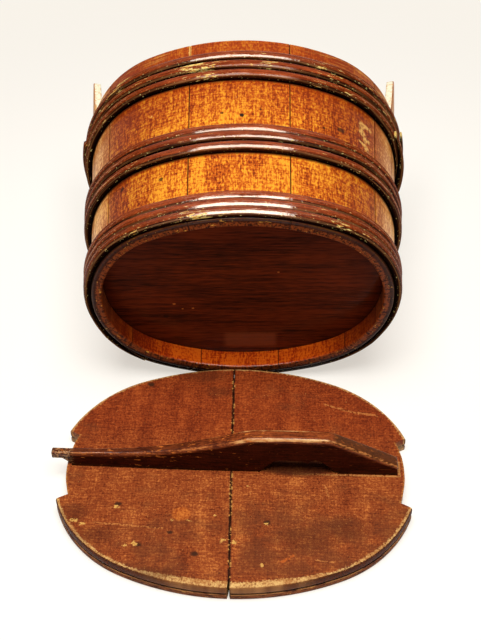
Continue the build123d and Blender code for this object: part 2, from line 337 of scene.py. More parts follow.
def stave_grid(ear, lo, hi, middle):
    """Arc lengths across a stave, heights along it, and the grid places of an ear's hole."""
    hole_low, hole_high = (HEIGHT + EAR_HOLE_RISE + s * EAR_HOLE / 2 for s in (-1, 1))
    extra = [CROZE_START - 0.05, CROZE_START, CROZE_END, CROZE_END + 0.05]
    if ear:
        extra += [HEIGHT, HEIGHT + 0.5, hole_low, hole_high, TALL - 4.5, TALL - 2.5]
    axial = spaced(0, TALL if ear else HEIGHT, 2.4, extra, (0.15, 0.5, 1.0, 1.7, 2.5))
    arcs = spaced(arc_of(lo), arc_of(hi), 2.0, (), (0.12, 0.45, 0.9, 1.5))
    if not ear:
        return arcs, axial, None
    hole_arc = [arc_of(middle - EAR_HOLE_TURN), arc_of(middle + EAR_HOLE_TURN)]
    arcs = np.array(sorted([a for a in arcs if min(abs(a - h) for h in hole_arc) > 0.8] + hole_arc))
    hole = [int(np.argmin(np.abs(arcs - h))) for h in hole_arc]
    hole += [int(np.argmin(np.abs(axial - h))) for h in (hole_low, hole_high)]
    return arcs, axial, hole


def ear_outline(phi, axial, lo, hi, middle):
    """Normals of a stave that narrows past the mouth towards a rounded tip.

    The columns beside the hole stay straight, and the rest are squeezed."""
    outline = EAR_BASE_HALF - (EAR_BASE_HALF - EAR_TIP_HALF) * (axial - HEIGHT) / EAR_RISE
    outline = outline - edge_round(TALL - axial, EAR_CORNER)
    limit = np.arcsin(np.clip(outline / (END_RADIUS + axial * FLARE), -1, 1))
    above = axial > HEIGHT + 0.01
    phi_lo = np.where(above, np.maximum(lo, middle - limit), lo)
    phi_hi = np.where(above, np.minimum(hi, middle + limit), hi)
    base, half = phi - middle, EAR_HOLE_TURN
    share_hi = (phi_hi - middle - half) / (hi - middle - half)
    share_lo = (middle - phi_lo - half) / (middle - lo - half)
    high_side = half + (base - half) * share_hi
    low_side = -half + (base + half) * share_lo
    return middle + np.where(base > half, high_side, np.where(base < -half, low_side, base))


def stave_walls(ear, arcs, axial, z, seed):
    """How far the outer and inner faces have grown from the foot oval, hand-worked and worn at the edges."""
    outer = z * FLARE
    past_mouth = HEIGHT * FLARE - WALL_MOUTH + (z - HEIGHT) * EAR_FLARE
    inner = np.where(z <= HEIGHT, z * INNER_FLARE - WALL_FOOT, past_mouth)
    in_croze = (z >= CROZE_START - 0.01) & (z <= CROZE_END + 0.01)
    inner = inner + np.where(in_croze, CROZE_DEPTH, 0.0)
    outer = outer + 0.16 * rough(arcs[:, None], z * 0.35, seed * 9.1, 26, seed) - 0.05
    inner = inner + 0.22 * rough(arcs[:, None], z * 0.3, seed * 5.3, 22, seed + 50)
    from_joint = np.minimum(arcs - arcs[0], arcs[-1] - arcs)[:, None]
    outer = outer - edge_round(from_joint, 0.75)
    if ear:
        side_round = np.where(z > HEIGHT, edge_round(from_joint, 1.5) * 0.8, 0)
        outer = outer - side_round
        inner = inner + side_round
    end_round = np.minimum(edge_round(axial, 2.4) + edge_round(axial[-1] - axial, 0.8), 2.4)
    return outer - end_round, inner + end_round * 0.8


def mark_stave(obj, ear, arcs, through, place, shell, seed):
    """What the material reads; place = (x, up, axial) of the whole grid, and shell picks its outside."""
    x, up, z = place
    from_joint = np.minimum(arcs - arcs[0], arcs[-1] - arcs)[:, None, None]
    # bare: inside above the bottom board, and the ears' inner and side faces
    bare = smooth(0.55, 0.8, through) * smooth(24, 26, z)
    joint = 1 - smooth(0.0, 1.2, from_joint)
    # dirt in the joints, and dirt with painted shade beside the hoops
    grime_and_shade = np.maximum(hoop_shade(z) * (through < 0.1), 0.85 * joint * (z <= HEIGHT + 0.2))
    end_face = 1 - smooth(0.3, 1.4, z)
    rim = (1 - smooth(0.3, 2.5, HEIGHT - z)) * (z <= HEIGHT + 0.1)
    if ear:
        side = np.zeros((len(arcs), 1, 1))
        side[[0, -1]] = 1.0
        side[[1, -2]] = 0.6
        off_front = np.maximum(smooth(0.1, 0.3, through), side)
        bare = np.maximum(bare, smooth(HEIGHT - 2, HEIGHT + 2, z) * off_front)
        near_side = 1 - smooth(0.5, 1.5, np.minimum(from_joint, TALL - z))
        near_face = np.maximum(1 - smooth(0.04, 0.18, through), smooth(0.82, 0.96, through))
        rim = rim + near_side * near_face * (z > HEIGHT + 1)
    give(obj, "wood", (arcs[:, None, None] + 131.0 * seed, z, through * 10.0), shell)
    give(obj, "state", (bare, grime_and_shade, end_face), shell)
    give(obj, "place", (x + LOWER_SIDE * (up < 0), z, rim), shell)


def make_stave(name, start, end, seed):
    """One stave as a grid: across its width, through its thickness, and along the tub's axis."""
    ear = name.startswith("ear")
    lo, hi = math.radians(start), math.radians(end)
    middle = 0.0 if abs(start) < 90 else math.pi
    arcs, axial, hole = stave_grid(ear, lo, hi, middle)
    through = np.array([0, 0.06, 0.16, 0.5, 0.84, 0.94, 1.0])[None, :, None]
    phi = np.repeat(phi_of(arcs)[:, None], len(axial), 1)
    z = np.repeat(axial[None, :], len(arcs), 0)
    if ear:
        phi = ear_outline(phi, axial, lo, hi, middle)
    outer, inner = stave_walls(ear, arcs, axial, z, seed)
    # hairline joints: only the outermost columns are drawn back
    gap = 0.05 + 0.10 * smooth(0.2, 0.9, rough(axial, 0, seed * 3.7, 60, seed + 9) * 0.5 + 0.5)
    radius = np.where(np.abs(np.sin(phi)) < math.sin(END_SPAN), END_RADIUS, SIDE_RADIUS) + z * FLARE
    inwards = (1 - 2 * (arcs - arcs[0]) / (arcs[-1] - arcs[0]))[:, None]
    phi = phi + inwards * gap / radius * (np.abs(inwards) > 0.9)
    grow = outer[:, None, :] + (inner - outer)[:, None, :] * through
    phi, z = (np.repeat(v[:, None, :], through.size, 1) for v in (phi, z))
    # end faces are a little uneven
    tip = np.zeros(len(axial))
    tip[0], tip[-1] = -1.0, 1.0
    z = z - tip * 0.25 * (rough(phi * 80, through * 9, seed * 1.0, 9, seed + 4) * 0.5 + 0.5)
    x, up = oval(phi, grow)
    verts, faces, shell = box_grid(tub_point(x, up, z), hole)
    obj = new_object(name + "_wood", verts, faces)
    mark_stave(obj, ear, arcs, through, (x, up, z), shell, seed)
    return stand_for(obj, name, "tub")


# a hoop's section as shares of its half width (the foot side is negative) and its thickness:
# nearly square, upright towards the foot with a rounded corner, flat on top
HOOP_SECTION = [
    (-0.96, 0.03), (-1.0, 0.2), (-1.0, 0.5), (-0.995, 0.72), (-0.975, 0.785), (-0.93, 0.822), (-0.80, 0.868),
    (-0.64, 0.914), (-0.48, 0.950), (-0.32, 0.976), (-0.12, 0.995), (0.10, 1.0), (0.30, 0.998), (0.50, 0.985),
    (0.66, 0.955), (0.80, 0.885), (0.91, 0.76), (0.97, 0.55), (0.98, 0.3), (0.94, 0.03), (0.45, 0.0),
    (0.0, 0.0), (-0.45, 0.0),
]


def make_hoop(name, axial, lap, gloss, damage, seed):
    """A split sapling bent round the staves, its ends scarfed over one another."""
    lap_angle, lap_length, proud = lap
    run = ONCE_ROUND + lap_length
    s = np.linspace(0, run, int(run / 1.6))
    # length is measured on the foot oval, so the same arc is the same angle at any height
    phi = phi_of(arc_of(math.radians(lap_angle % 360)) - lap_length / 2 + s)
    under = np.clip(1 - s / lap_length, 0, 1)
    over = np.clip((s - ONCE_ROUND) / lap_length, 0, 1)
    # over the upper side the bands sag towards the foot, and the foot band is thinner
    crown = np.exp(-((((np.degrees(phi) + 90) % 360 - 180) / 42) ** 2))
    sag, thinner = SAG[name.split("_")[1]]
    thick = HOOP_THICK - 0.2 - thinner * crown
    thick = thick + 0.25 * rough(s, 0, 0, 40, seed) + 0.12 * rough(s, 0, 0, 7, seed + 1)
    width = HOOP_WIDTH + 0.35 * rough(s, 0, 0, 60, seed + 2) + 0.15 * rough(s, 0, 0, 9, seed + 3)
    # the under end thins away to 0.8 mm, and the over end lies on it
    body = thick - (thick - 0.8) * under**0.8
    lap_under = np.interp(s - ONCE_ROUND, s, body)
    on_top = s > ONCE_ROUND
    over_body = (thick - 0.9 + proud) * (1 - over) ** 0.9 * 0.999 + (0.9 + 0.35 * proud) * over
    over_body = np.minimum(over_body, HOOP_THICK + proud - lap_under + 0.9)
    body = np.where(on_top, over_body, body)
    # a short ramp lifts the over end on to the under end
    ramp = smooth(ONCE_ROUND - 16, ONCE_ROUND, s)
    first = np.argmax(on_top)
    lift = np.where(on_top, lap_under + 0.12, ramp * (lap_under[first] + 0.12))
    body = np.where(on_top, body, body - ramp * np.clip(body - body[first], 0, None))
    z = axial + 0.25 * rough(np.cos(phi) * 60, np.sin(phi) * 60, 0, 55, seed + 5) - sag * crown
    half = width / 2 * (1 - 0.25 * over**2) * (1 - 0.25 * under**2)
    worn = 1 + 0.45 * rough(s, 0, 0, 34, seed + 8) + 0.2 * rough(s, 0, 0, 9, seed + 9)
    columns = []
    for across, proud_share in HOOP_SECTION:
        knock = 0.10 * rough(s, across * 6, proud_share * 6, 14, seed + 6)
        on_foot_corner = proud_share >= 0.7 and across <= 0
        high = 1 - (1 - proud_share) * worn if on_foot_corner else proud_share + 0 * s
        place = z + across * half
        grow = place * FLARE + HOOP_LIFT + lift + high * body + knock * high
        columns.append((grow, place, across + 0 * s, high))
    grow, place, across, high = np.array(columns).transpose(1, 2, 0)
    x, up = oval(phi[:, None], grow)
    points = tub_point(x, up, place)
    obj = new_object(name + "_sapling", points.reshape(-1, 3), tube(*grow.shape), 50)
    s = s[:, None]
    marks = 0.0
    for angle, spread, amount in damage:
        turn = (np.degrees(phi[:, None]) - angle + 180) % 360 - 180
        marks = marks + amount * np.exp(-((turn / spread) ** 2))
    end = np.clip(np.exp(-s / 3.0) + np.exp(-(run - s) / 3.0), 0, 1)
    give(obj, "wood", (s + seed * 977.0, across * 6 + high * 5 * np.sign(across + 1e-9), high * 6))
    give(obj, "state", (marks, 1 - smooth(0.1, 0.55, high), end))
    give(obj, "place", (across, high, gloss))
    give(obj, "turn", (np.abs(x), up, place))
    return stand_for(obj, name, "tub")


def ring_solid(rows, count):
    """Closed solid of oval rings with `count` points; rows are (grow, height, scale about the middle)."""
    phi = phi_of(arc_of(0.0) + np.arange(count) / count * ONCE_ROUND)
    points, faces = [], []
    for grow, height, scale in rows:
        x, y = oval(phi, grow)
        points.append(np.stack([x * scale, y * scale, np.full_like(x, height)], -1))
    points = np.concatenate(points + [[[0, 0, rows[0][1]], [0, 0, rows[-1][1]]]])
    first_centre, last_centre = len(points) - 2, len(points) - 1
    after = [(i + 1) % count for i in range(count)]
    for r in range(len(rows) - 1):
        a, b = r * count, (r + 1) * count
        faces += [(a + i, a + j, b + j, b + i) for i, j in enumerate(after)]
    last = (len(rows) - 1) * count
    for i, j in enumerate(after):
        faces += [(i, first_centre, j), (last + i, last + j, last_centre)]
    return points, faces


def inner_wall(axial):
    """How far the staves' inner face has grown from the foot oval at this height."""
    return axial * INNER_FLARE - WALL_FOOT


def make_bottom_board():
    front, back = BOTTOM_RECESS, BOTTOM_RECESS + BOTTOM_THICK
    low, high = CROZE_START + 0.1, CROZE_END - 0.1
    tongue = inner_wall(CROZE_START) + CROZE_DEPTH - 0.3
    rows = [(inner_wall(front) - 0.5, front, s) for s in np.linspace(0.04, 1, 40)]
    rows += [(inner_wall(front) - 0.4, front + 0.3, 1), (inner_wall(low) - 0.35, low, 1)]
    rows += [(tongue, low, 1), (tongue, high, 1)]
    rows += [(inner_wall(high) - 0.35, high, 1), (inner_wall(back) - 0.4, back - 0.3, 1)]
    rows += [(inner_wall(back) - 0.6, back, s) for s in np.linspace(1, 0.05, 24)]
    points, faces = ring_solid(rows, 480)
    x, up, z = points.T
    uneven = 0.16 * rough(x * 0.12, up, 0, 9, 71) + 0.25 * rough(x * 0.3, up, 3, 60, 72)
    z = z + np.where(z < front + 0.01, uneven, 0)
    obj = new_object("bottom_board_wood", tub_point(x, up, z), faces)
    from_wall = inward(x, up, inner_wall(front))
    give(obj, "wood", (x, up, z))
    give(obj, "state", (z > front + 5, 1 - smooth(0, 6, from_wall), 0.0))
    return stand_for(obj, "bottom_board", "tub")


# ---------------------------------------------------------------- the lid
def prism(name, outline, low, high, foot=None):
    """Closed prism over an outline in lid coordinates, used to cut the lid; `foot` is its lower outline."""
    foot = outline if foot is None else foot
    n = len(outline)
    points = np.concatenate([np.c_[foot, np.full(n, low)], np.c_[outline, np.full(n, high)]])
    faces = [tuple(range(n))[::-1], tuple(range(n, 2 * n))]
    faces += [(i, (i + 1) % n, n + (i + 1) % n, n + i) for i in range(n)]
    return new_object(name, lid_point(*points.T), faces)


def drop(obj):
    mesh = obj.data
    bpy.data.objects.remove(obj)
    bpy.data.meshes.remove(mesh)


def cut(obj, cutter, operation="DIFFERENCE"):
    """Exact boolean, applied at once; the cutter is removed."""
    mod = obj.modifiers.new("cut", "BOOLEAN")
    mod.operation, mod.solver, mod.object = operation, "EXACT", cutter
    bpy.context.view_layer.update()
    depsgraph = bpy.context.evaluated_depsgraph_get()
    mesh = bpy.data.meshes.new_from_object(obj.evaluated_get(depsgraph))
    obj.modifiers.clear()
    old, obj.data = obj.data, mesh
    bpy.data.meshes.remove(old)
    drop(cutter)


def seam_x(y):
    """Middle of the joint between the lid's boards."""
    return -3.1 - 0.0275 * y + 0.25 * rough(y, 0, 0, 45, 31) + 0.35 * rough(y, 0, 0, 8, 33)


def make_lid_blank():
    """The whole round of the lid, with its moulded edge and worn top, before anything is cut."""
    groove = [(0.25, 0.3), (0.0, 1.0), (0.0, 3.0), (0.05, 5.2), (0.35, 6.2), (1.2, 6.6), (1.4, 7.1),
              (0.6, 7.7), (0.2, 8.4)]
    arris = [(0.12, 10.2), (0.15, 12.0), (0.25, 13.6), (0.5, 14.7), (0.95, 15.5), (1.6, 15.95), (2.6, 16.15)]
    top = [(inset, LID_THICK) for inset in (4.0, 5.6, 7.4, 9.2, 11, 13)]
    rows = [(LID_GROW - 1.0, 0.0, s) for s in np.linspace(0.04, 1, 16)]
    rows += [(LID_GROW - inset, z, 1) for inset, z in groove + arris + top]
    rows += [(LID_GROW - 13, LID_THICK, s) for s in np.linspace(0.975, 0.03, 52)]
    points, faces = ring_solid(rows, 620)
    x, y, z = points.T
    inset = inward(x, y, LID_GROW)
    near_top = smooth(14.0, 16.0, z)
    # the arris is worn by an uneven amount
    pull = np.clip(inset, 0, 3) * 0.16 * rough(x, y, 0, 40, 41) * near_top * (inset < 5)
    r = np.hypot(x, y) + 1e-9
    x, y = x - x / r * pull, y - y / r * pull
    # shallow cups across the boards, and dents
    z = z + near_top * (0.22 * rough(x, y * 0.4, 0, 34, 42) + 0.08 * rough(x, y * 0.3, 5, 5, 43) - 0.1)
    z = np.where((z > 0.5) & (z < 8.5), z + 0.25 * rough(x, y, 0, 30, 44), z)
    return new_object("lid_whole", lid_point(x, y, z), faces)


def cut_notch(lid, side):
    """A round-bottomed notch that passes the ear on this side."""
    turn = np.radians(np.linspace(-NOTCH_HALF_ANGLE, NOTCH_HALF_ANGLE, 26))
    radius = NOTCH_RADIUS + 0.25 * rough(turn * 110, side * 9.0, 0, 9, 45)
    outline = list(zip(side * (END_CENTRE + radius * np.cos(turn)), radius * np.sin(turn)))
    (x0, y0), (x1, y1) = outline[0], outline[-1]
    outline += [(x1 + side * 24, y1 + 13), (x0 + side * 24, y0 - 13)]
    cut(lid, prism("notch", outline, -2, 30))


def cut_seat(lid, start, end):
    """A shallow seat for one foot of the bar."""
    x0, x1 = start - 2 * BAR_FIT, end + 2 * BAR_FIT
    y0, y1 = BAR_FRONT - BAR_FIT, BAR_BACK + BAR_FIT
    cut(lid, prism("seat", [(x0, y0), (x1, y0), (x1, y1), (x0, y1)], LID_THICK - BAR_SEAT - BAR_FIT, 30))


def make_lid():
    whole = make_lid_blank()
    for side in (1, -1):
        cut_notch(whole, side)
    for start, end in BAR_FEET:
        cut_seat(whole, start, end)
    # the joint opens into a V at the front rim
    y = np.concatenate([np.linspace(140, -88, 90), np.linspace(-91, -140, 26)])
    middle = seam_x(y)
    gap = 0.9 + 0.5 * smooth(-0.2, 0.7, rough(y, 0, 0, 24, 35)) + 0.3 * rough(y, 0, 0, 6, 36)
    open_left = gap / 2 + 2.4 * smooth(-116, -134, y) ** 1.4
    open_right = gap / 2 + 1.8 * smooth(-124, -134, y) ** 1.2
    boards = []
    for name, side, opening in (("lid_board_left", -1, open_left), ("lid_board_right", 1, open_right)):
        board = bpy.data.objects.new(name + "_wood", whole.data.copy())
        board.data.name = name + "_wood"
        bpy.context.scene.collection.objects.link(board)
        edge = middle + side * opening
        corners = [(side * 200, -140), (side * 200, 140)]
        # the crack narrows downwards, so no floor shows through it
        upper = list(zip(edge, y)) + corners
        lower = list(zip(edge - side * gap / 2, y)) + corners
        cut(board, prism("half", upper[::-side], -1, 30, lower[::-side]), "INTERSECT")
        smooth_shaded(board.data, 40)
        world = np.array([v.co for v in board.data.vertices], float) * 1000
        c, s = math.cos(LID_YAW), math.sin(LID_YAW)
        dx, dy = world[:, 0] - LID_X, world[:, 1] - LID_Y
        px, py, pz = c * dx + s * dy, -s * dx + c * dy, world[:, 2]
        from_notch = np.abs(np.hypot(np.abs(px) - END_CENTRE, py) - NOTCH_RADIUS)
        from_notch = from_notch + np.where(np.abs(py) > EAR_BASE_HALF - 0.5, 20, 0)
        give(board, "wood", (px + side * 400.0, py, pz))
        give(board, "state", (inward(px, py, LID_GROW), np.abs(px - seam_x(py)), 1 - smooth(0.0, 0.8, pz)))
        give(board, "place", (px, py, from_notch))
        boards.append(stand_for(board, name, "lid"))
    drop(whole)
    return boards


def make_bar():
    """The carved locking bar: top line, underside, width and chamfer change along the lid."""
    foot = LID_THICK - BAR_SEAT
    (left_start, left_end), (right_start, right_end) = BAR_FEET
    top = [(BAR_TIP, 31.0), (-150, 31.2), (-124, 31.6), (-105, 32.4), (-87.5, 34.0), (-70, 36.3),
           (-55.6, 39.0), (-38, 43.0), (-19, 48.3), (-4, 53.0), (10, 57.4), (16, 58.6), (30, 59.1),
           (50, 59.3), (70, 59.2), (84, 58.9), (89, 57.3), (95, 54.4), (120, 41.5), (BAR_END, 27.0)]
    tongue = [(BAR_TIP, 24.4), (-159.2, 24.2), (-158.2, 23.8), (-151.0, 17.4)]
    left_foot = [(left_start + 0.05, LID_THICK), (left_start + 0.1, foot), (left_end - 0.05, foot)]
    grip = [(left_end, LID_THICK), (27, 21.5), (31, 26.5), (36, 31.4), (44, 32.6), (54, 32.2), (62, 31.8),
            (65.0, 29.9), (66.2, 29.6), (68.5, 32.2), (73, 33.2), (78, 32.6), (82, 29.0), (88, 22.8)]
    right_foot = [(right_start - 0.05, LID_THICK), (right_start, foot), (right_end, foot)]
    top_x, top_z = np.array(top).T
    under_x, under_z = np.array(tongue + left_foot + grip + right_foot).T
    # stations along the bar, closer at the feet and the rounded ends
    xs = set(np.linspace(BAR_TIP, BAR_END, 230)) | set(under_x)
    xs |= {left_start + 0.07, left_end - 0.02, right_start - 0.02}
    xs |= {BAR_TIP + 0.5, BAR_TIP + 1.2, BAR_END - 0.4, BAR_END - 1.0}
    xs = np.array(sorted(xs))
    z_top = np.interp(xs, top_x, top_z)
    softened = np.convolve(np.pad(z_top, 3, "edge"), np.ones(7) / 7, "valid")
    z_top = np.where(xs < 8, softened, z_top)
    z_low = np.interp(xs, under_x, under_z)
    half = np.interp(xs, [BAR_TIP, left_start, -100, -50, 0, BAR_END], [3.5, 3.5, 4.4, 5.6, 6.95, 6.95])
    chamfer_x = [BAR_TIP, -150, -120, -30, 10, 60, 88, 100, BAR_END]
    chamfer = np.interp(xs, chamfer_x, [0.9, 1.2, 1.9, 2.1, 2.3, 2.5, 2.5, 2.4, 2.2])
    end = edge_round(np.minimum(xs - BAR_TIP, BAR_END - xs), 1.3) * 0.8
    loops = []
    for x, high, low, h, c in zip(xs, z_top - end, z_low, half - end, chamfer):
        shoulder = max(high - c, low + 0.3)
        tall = shoulder - low
        front = [(-h, low + tall * t) for t in (0.0, 0.12, 0.3, 0.5, 0.7, 0.88)]
        front += [(-h + c * 0.06, shoulder - 0.1), (-h + c * 0.2, shoulder + 0.24 * c)]
        front += [(-h + c * 0.8, high - 0.2 * c)]
        crown = [(-h + c * 1.15, high), (-0.3 * h, high + 0.05), (0.3 * h, high + 0.05), (h - c * 0.9, high)]
        back = [(h - c * 0.55, high - 0.2 * c), (h - c * 0.12, shoulder + 0.3 * c)]
        back += [(h, low + tall * t) for t in (0.9, 0.7, 0.5, 0.3, 0.12, 0.0)]
        base = [(0.5 * h, low), (0.0, low), (-0.5 * h, low)]
        loops.append([(x, BAR_MIDDLE + a, b) for a, b in front + crown + back + base])
    x, y, z = np.array(loops).transpose(2, 0, 1)
    above = smooth(LID_THICK + 0.3, LID_THICK + 2.5, z)
    knife = 0.16 * rough(x * 0.5, y, z, 12, 61) + 0.1 * rough(x, y * 2, z * 2, 4, 62)
    y = y + np.sign(y - BAR_MIDDLE) * knife * above
    z = z + knife * above * 0.8
    obj = new_object("lid_bar_wood", lid_point(x, y, z).reshape(-1, 3), tube(*x.shape), 32)
    # wear and painted highlights along the two upper edges
    wear = np.zeros(x.shape[1])
    wear[5:10] = [0.1, 0.3, 0.65, 1.0, 0.7]
    wear[12:15] = [0.7, 0.9, 0.5]
    give(obj, "wood", (x, y, z))
    give(obj, "state", (wear, (z_top - end)[:, None] - z, 1 - smooth(0, 5, z - LID_THICK)))
    return stand_for(obj, "lid_bar", "lid")


# ---------------------------------------------------------------- finishes
LIGHT = 1.62


def seen(r, g, b):
    """Surface colour that looks like this sRGB colour when lit from above in this scene."""
    values = [c / 255 for c in (r, g, b)]
    linear = [c / 12.92 if c <= 0.04 else ((c + 0.055) / 1.055) ** 2.4 for c in values]
    return tuple(min(0.95, c / LIGHT) for c in linear) + (1.0,)


class Finish:
    """A node material written as short calls; a value may be a number or a socket, and a colour may be
    a socket or the (r, g, b) that is to be seen."""

    def __init__(self, name):
        self.material = bpy.data.materials.new(name)
        self.material.use_nodes = True
        self.tree = self.material.node_tree
        self.tree.nodes.clear()
        self.surface = self.add("ShaderNodeBsdfPrincipled")
        self.output = self.add("ShaderNodeOutputMaterial").inputs[0]
        self.put(self.surface.outputs[0], self.output)
        self.colour = None

    def add(self, kind, **settings):
        node = self.tree.nodes.new(kind)
        for key, value in settings.items():
            setattr(node, key, value)
        return node

    def put(self, value, socket):
        if isinstance(value, bpy.types.NodeSocket):
            self.tree.links.new(value, socket)
        else:
            socket.default_value = value

    def feed(self, node, *values):
        """Puts the values into the node's first inputs."""
        for value, socket in zip(values, node.inputs):
            self.put(value, socket)
        return node

    def mark(self, name):
        return self.add("ShaderNodeAttribute", attribute_name=name).outputs["Vector"]

    def parts(self, vector):
        return self.feed(self.add("ShaderNodeSeparateXYZ"), vector).outputs[:]

    def calc(self, operation, a, b=0.0):
        return self.feed(self.add("ShaderNodeMath", operation=operation), a, b).outputs[0]

    def total(self, base, *terms):
        """base plus each (weight, noise) term, the noise taken about its middle."""
        value = base
        for weight, noise in terms:
            value = self.calc("ADD", value, self.calc("MULTIPLY", self.calc("SUBTRACT", noise, 0.5), weight))
        return value

    def times(self, *values):
        return functools.reduce(lambda a, b: self.calc("MULTIPLY", a, b), values)

    def most(self, *values):
        return functools.reduce(lambda a, b: self.calc("MAXIMUM", a, b), values)

    def rest(self, share):
        return self.calc("SUBTRACT", 1.0, share)

    def step(self, value, low, high, start=0.0, end=1.0):
        """A soft step from start at low to end at high."""
        node = self.add("ShaderNodeMapRange", interpolation_type="SMOOTHSTEP")
        return self.feed(node, value, low, high, start, end).outputs[0]

    def band(self, value, centre, half, soft):
        """1 within `half` of the centre, falling to 0 over `soft`."""
        away = self.calc("ABSOLUTE", self.calc("SUBTRACT", value, centre))
        return self.step(away, half + soft, half)

    def blend(self, amount, a, b):
        node = self.add("ShaderNodeMix", data_type="RGBA", clamp_factor=True)
        self.put(amount, node.inputs[0])
        for colour, socket in ((a, node.inputs[6]), (b, node.inputs[7])):
            self.put(seen(*colour) if isinstance(colour, tuple) else colour, socket)
        return node.outputs[2]

    def ramp(self, value, low, high, a, b):
        """Colour a where the value is low, b where it is high."""
        return self.blend(self.step(value, low, high), a, b)

    def over(self, base, colour, *amounts):
        """The colour laid over the base by the product of the amounts."""
        return self.blend(self.times(*amounts), base, colour)

    def paint(self, colour, *amounts):
        """Lays the colour over what the material has so far."""
        self.colour = self.over(self.colour, colour, *amounts)

    def scale(self, vector, factor, shift=(0, 0, 0)):
        node = self.add("ShaderNodeVectorMath", operation="MULTIPLY_ADD")
        return self.feed(node, vector, factor, shift).outputs[0]

    def noise(self, vector, size, detail=2.0, rough=0.5, shift=0.0):
        """Noise with blotches about size = (x, y, z) millimetres."""
        node = self.add("ShaderNodeTexNoise")
        place = self.scale(vector, [1.0 / s for s in size], (shift, shift * 0.7, -shift))
        self.put(place, node.inputs["Vector"])
        self.put(1.0, node.inputs["Scale"])
        self.put(detail, node.inputs["Detail"])
        self.put(rough, node.inputs["Roughness"])
        return node.outputs["Fac"]

    def shaken(self, vector, amount, size):
        """The vector with its x and y moved about, for ragged outlines."""
        node = self.add("ShaderNodeTexNoise")
        self.put(self.scale(vector, (1.0 / size, 1.0 / size, 0)), node.inputs["Vector"])
        self.put(1.0, node.inputs["Scale"])
        sideways = self.scale(node.outputs["Color"], (1, 1, 0), (-0.5, -0.5, 0))
        return self.scale(sideways, (amount, amount, 0), vector)

    def spots(self, vector, places, soft=0.6):
        """1 inside any of the ellipses (x, y, half width, half height)."""
        found = []
        for x, y, half_x, half_y in places:
            flat = self.scale(vector, (1.0 / half_x, 1.0 / half_y, 0), (-x / half_x, -y / half_y, 0))
            away = self.feed(self.add("ShaderNodeVectorMath", operation="LENGTH"), flat).outputs["Value"]
            found.append(self.step(away, 1.0 + soft / 2, 1.0 - soft / 2))
        return self.most(*found)

    def stroke(self, vector, start, end, half):
        """1 along a line from start to end."""
        dx, dy = end[0] - start[0], end[1] - start[1]
        length = math.hypot(dx, dy)
        x, y, _ = self.parts(vector)
        rel_x = self.calc("SUBTRACT", x, (start[0] + end[0]) / 2)
        rel_y = self.calc("SUBTRACT", y, (start[1] + end[1]) / 2)
        along = self.calc("ADD", self.times(rel_x, dx / length), self.times(rel_y, dy / length))
        across = self.calc("SUBTRACT", self.times(rel_x, dy / length), self.times(rel_y, dx / length))
        return self.times(self.band(along, 0, length / 2, 1.0), self.band(across, 0, half, half))

    def bump(self, height, millimetres, strength=0.8):
        node = self.add("ShaderNodeBump")
        self.put(strength, node.inputs["Strength"])
        self.put(millimetres / 1000, node.inputs["Distance"])
        self.put(height, node.inputs["Height"])
        return node.outputs["Normal"]

    def done(self, rough, normal, coat=0.0, coat_rough=0.1, coat_ior=1.5, specular=0.5):
        settings = {
            "Base Color": self.colour,
            "Roughness": rough,
            "Normal": normal,
            "Coat Weight": coat,
            "Coat Roughness": coat_rough,
            "Coat IOR": coat_ior,
            "Coat Normal": normal,
            "Specular IOR Level": specular,
        }
        for name, value in settings.items():
            self.put(value, self.surface.inputs[name])
        return self.material


def amber_varnish_and_painted_light(f, tone, off, axial, depth):
    """Amber varnish with painted light and shade: lightest in the middle of each side and near the foot,
    darker towards the mouth and round the ends, with a painted sheen where the wall turns away; redder inside
    the foot end, with painted shade there round the ends.
    """
    # painted light and shade: the tone is raised near the foot and in the middle of each side, and lowered
    # towards the mouth and round the ends
    tone = f.calc("ADD", tone, f.step(axial, 60, 235, 0.07, -0.22))
    tone = f.calc("ADD", tone, f.step(off, 38, 105, 0.07, -0.14))
    amber = f.ramp(tone, -0.05, 0.45, (122, 36, 5), (204, 92, 18))
    amber = f.over(amber, (258, 172, 44), f.step(tone, 0.40, 1.05))
    amber = f.over(amber, (168, 62, 14), f.step(axial, 110, 240, 0.0, 0.6))
    amber = f.over(amber, (112, 42, 10), f.step(off, 50, 112, 0.0, 0.3))
    # painted sheen: where the wall turns away from the viewer round the ends, the varnish is painted pale
    # like a reflection
    beyond = f.calc("SUBTRACT", off, f.times(axial, FLARE))
    painted_sheen = f.ramp(tone, 0.1, 0.8, (236, 146, 64), (300, 236, 150))
    slant = f.step(f.add("ShaderNodeLayerWeight").outputs["Facing"], 0.5, 0.85)
    amber = f.over(amber, painted_sheen, f.step(beyond, 104, 130), slant, 0.85)
    inside = f.times(f.step(depth, 5.0, 8.0), f.step(axial, 22.5, 21.5))
    amber = f.over(amber, f.ramp(tone, 0.2, 0.8, (150, 33, 1), (216, 77, 6)), inside, 0.85)
    # painted shade inside the foot end, towards the ends of the oval
    return f.over(amber, (40, 13, 4), inside, f.step(off, 62, 118), 0.62)


def bare_stave_wood(f, axial, streak, fibre, cloud):
    """Pale unvarnished wood, browner low down inside and nearly white on the ears."""
    bare_tone = f.total(0.5, (1.2, streak), (1.2, fibre), (0.6, cloud))
    pale = f.ramp(bare_tone, 0.2, 0.8, (214, 150, 84), (248, 204, 142))
    # browner low down inside the tub
    browner_low_inside = f.step(f.total(axial, (60, cloud)), 130, 30)
    pale = f.over(pale, (178, 106, 50), browner_low_inside, 0.4)
    ear = f.step(axial, HEIGHT - 6, HEIGHT + 10)
    return f.over(pale, (276, 268, 236), ear, 0.95)


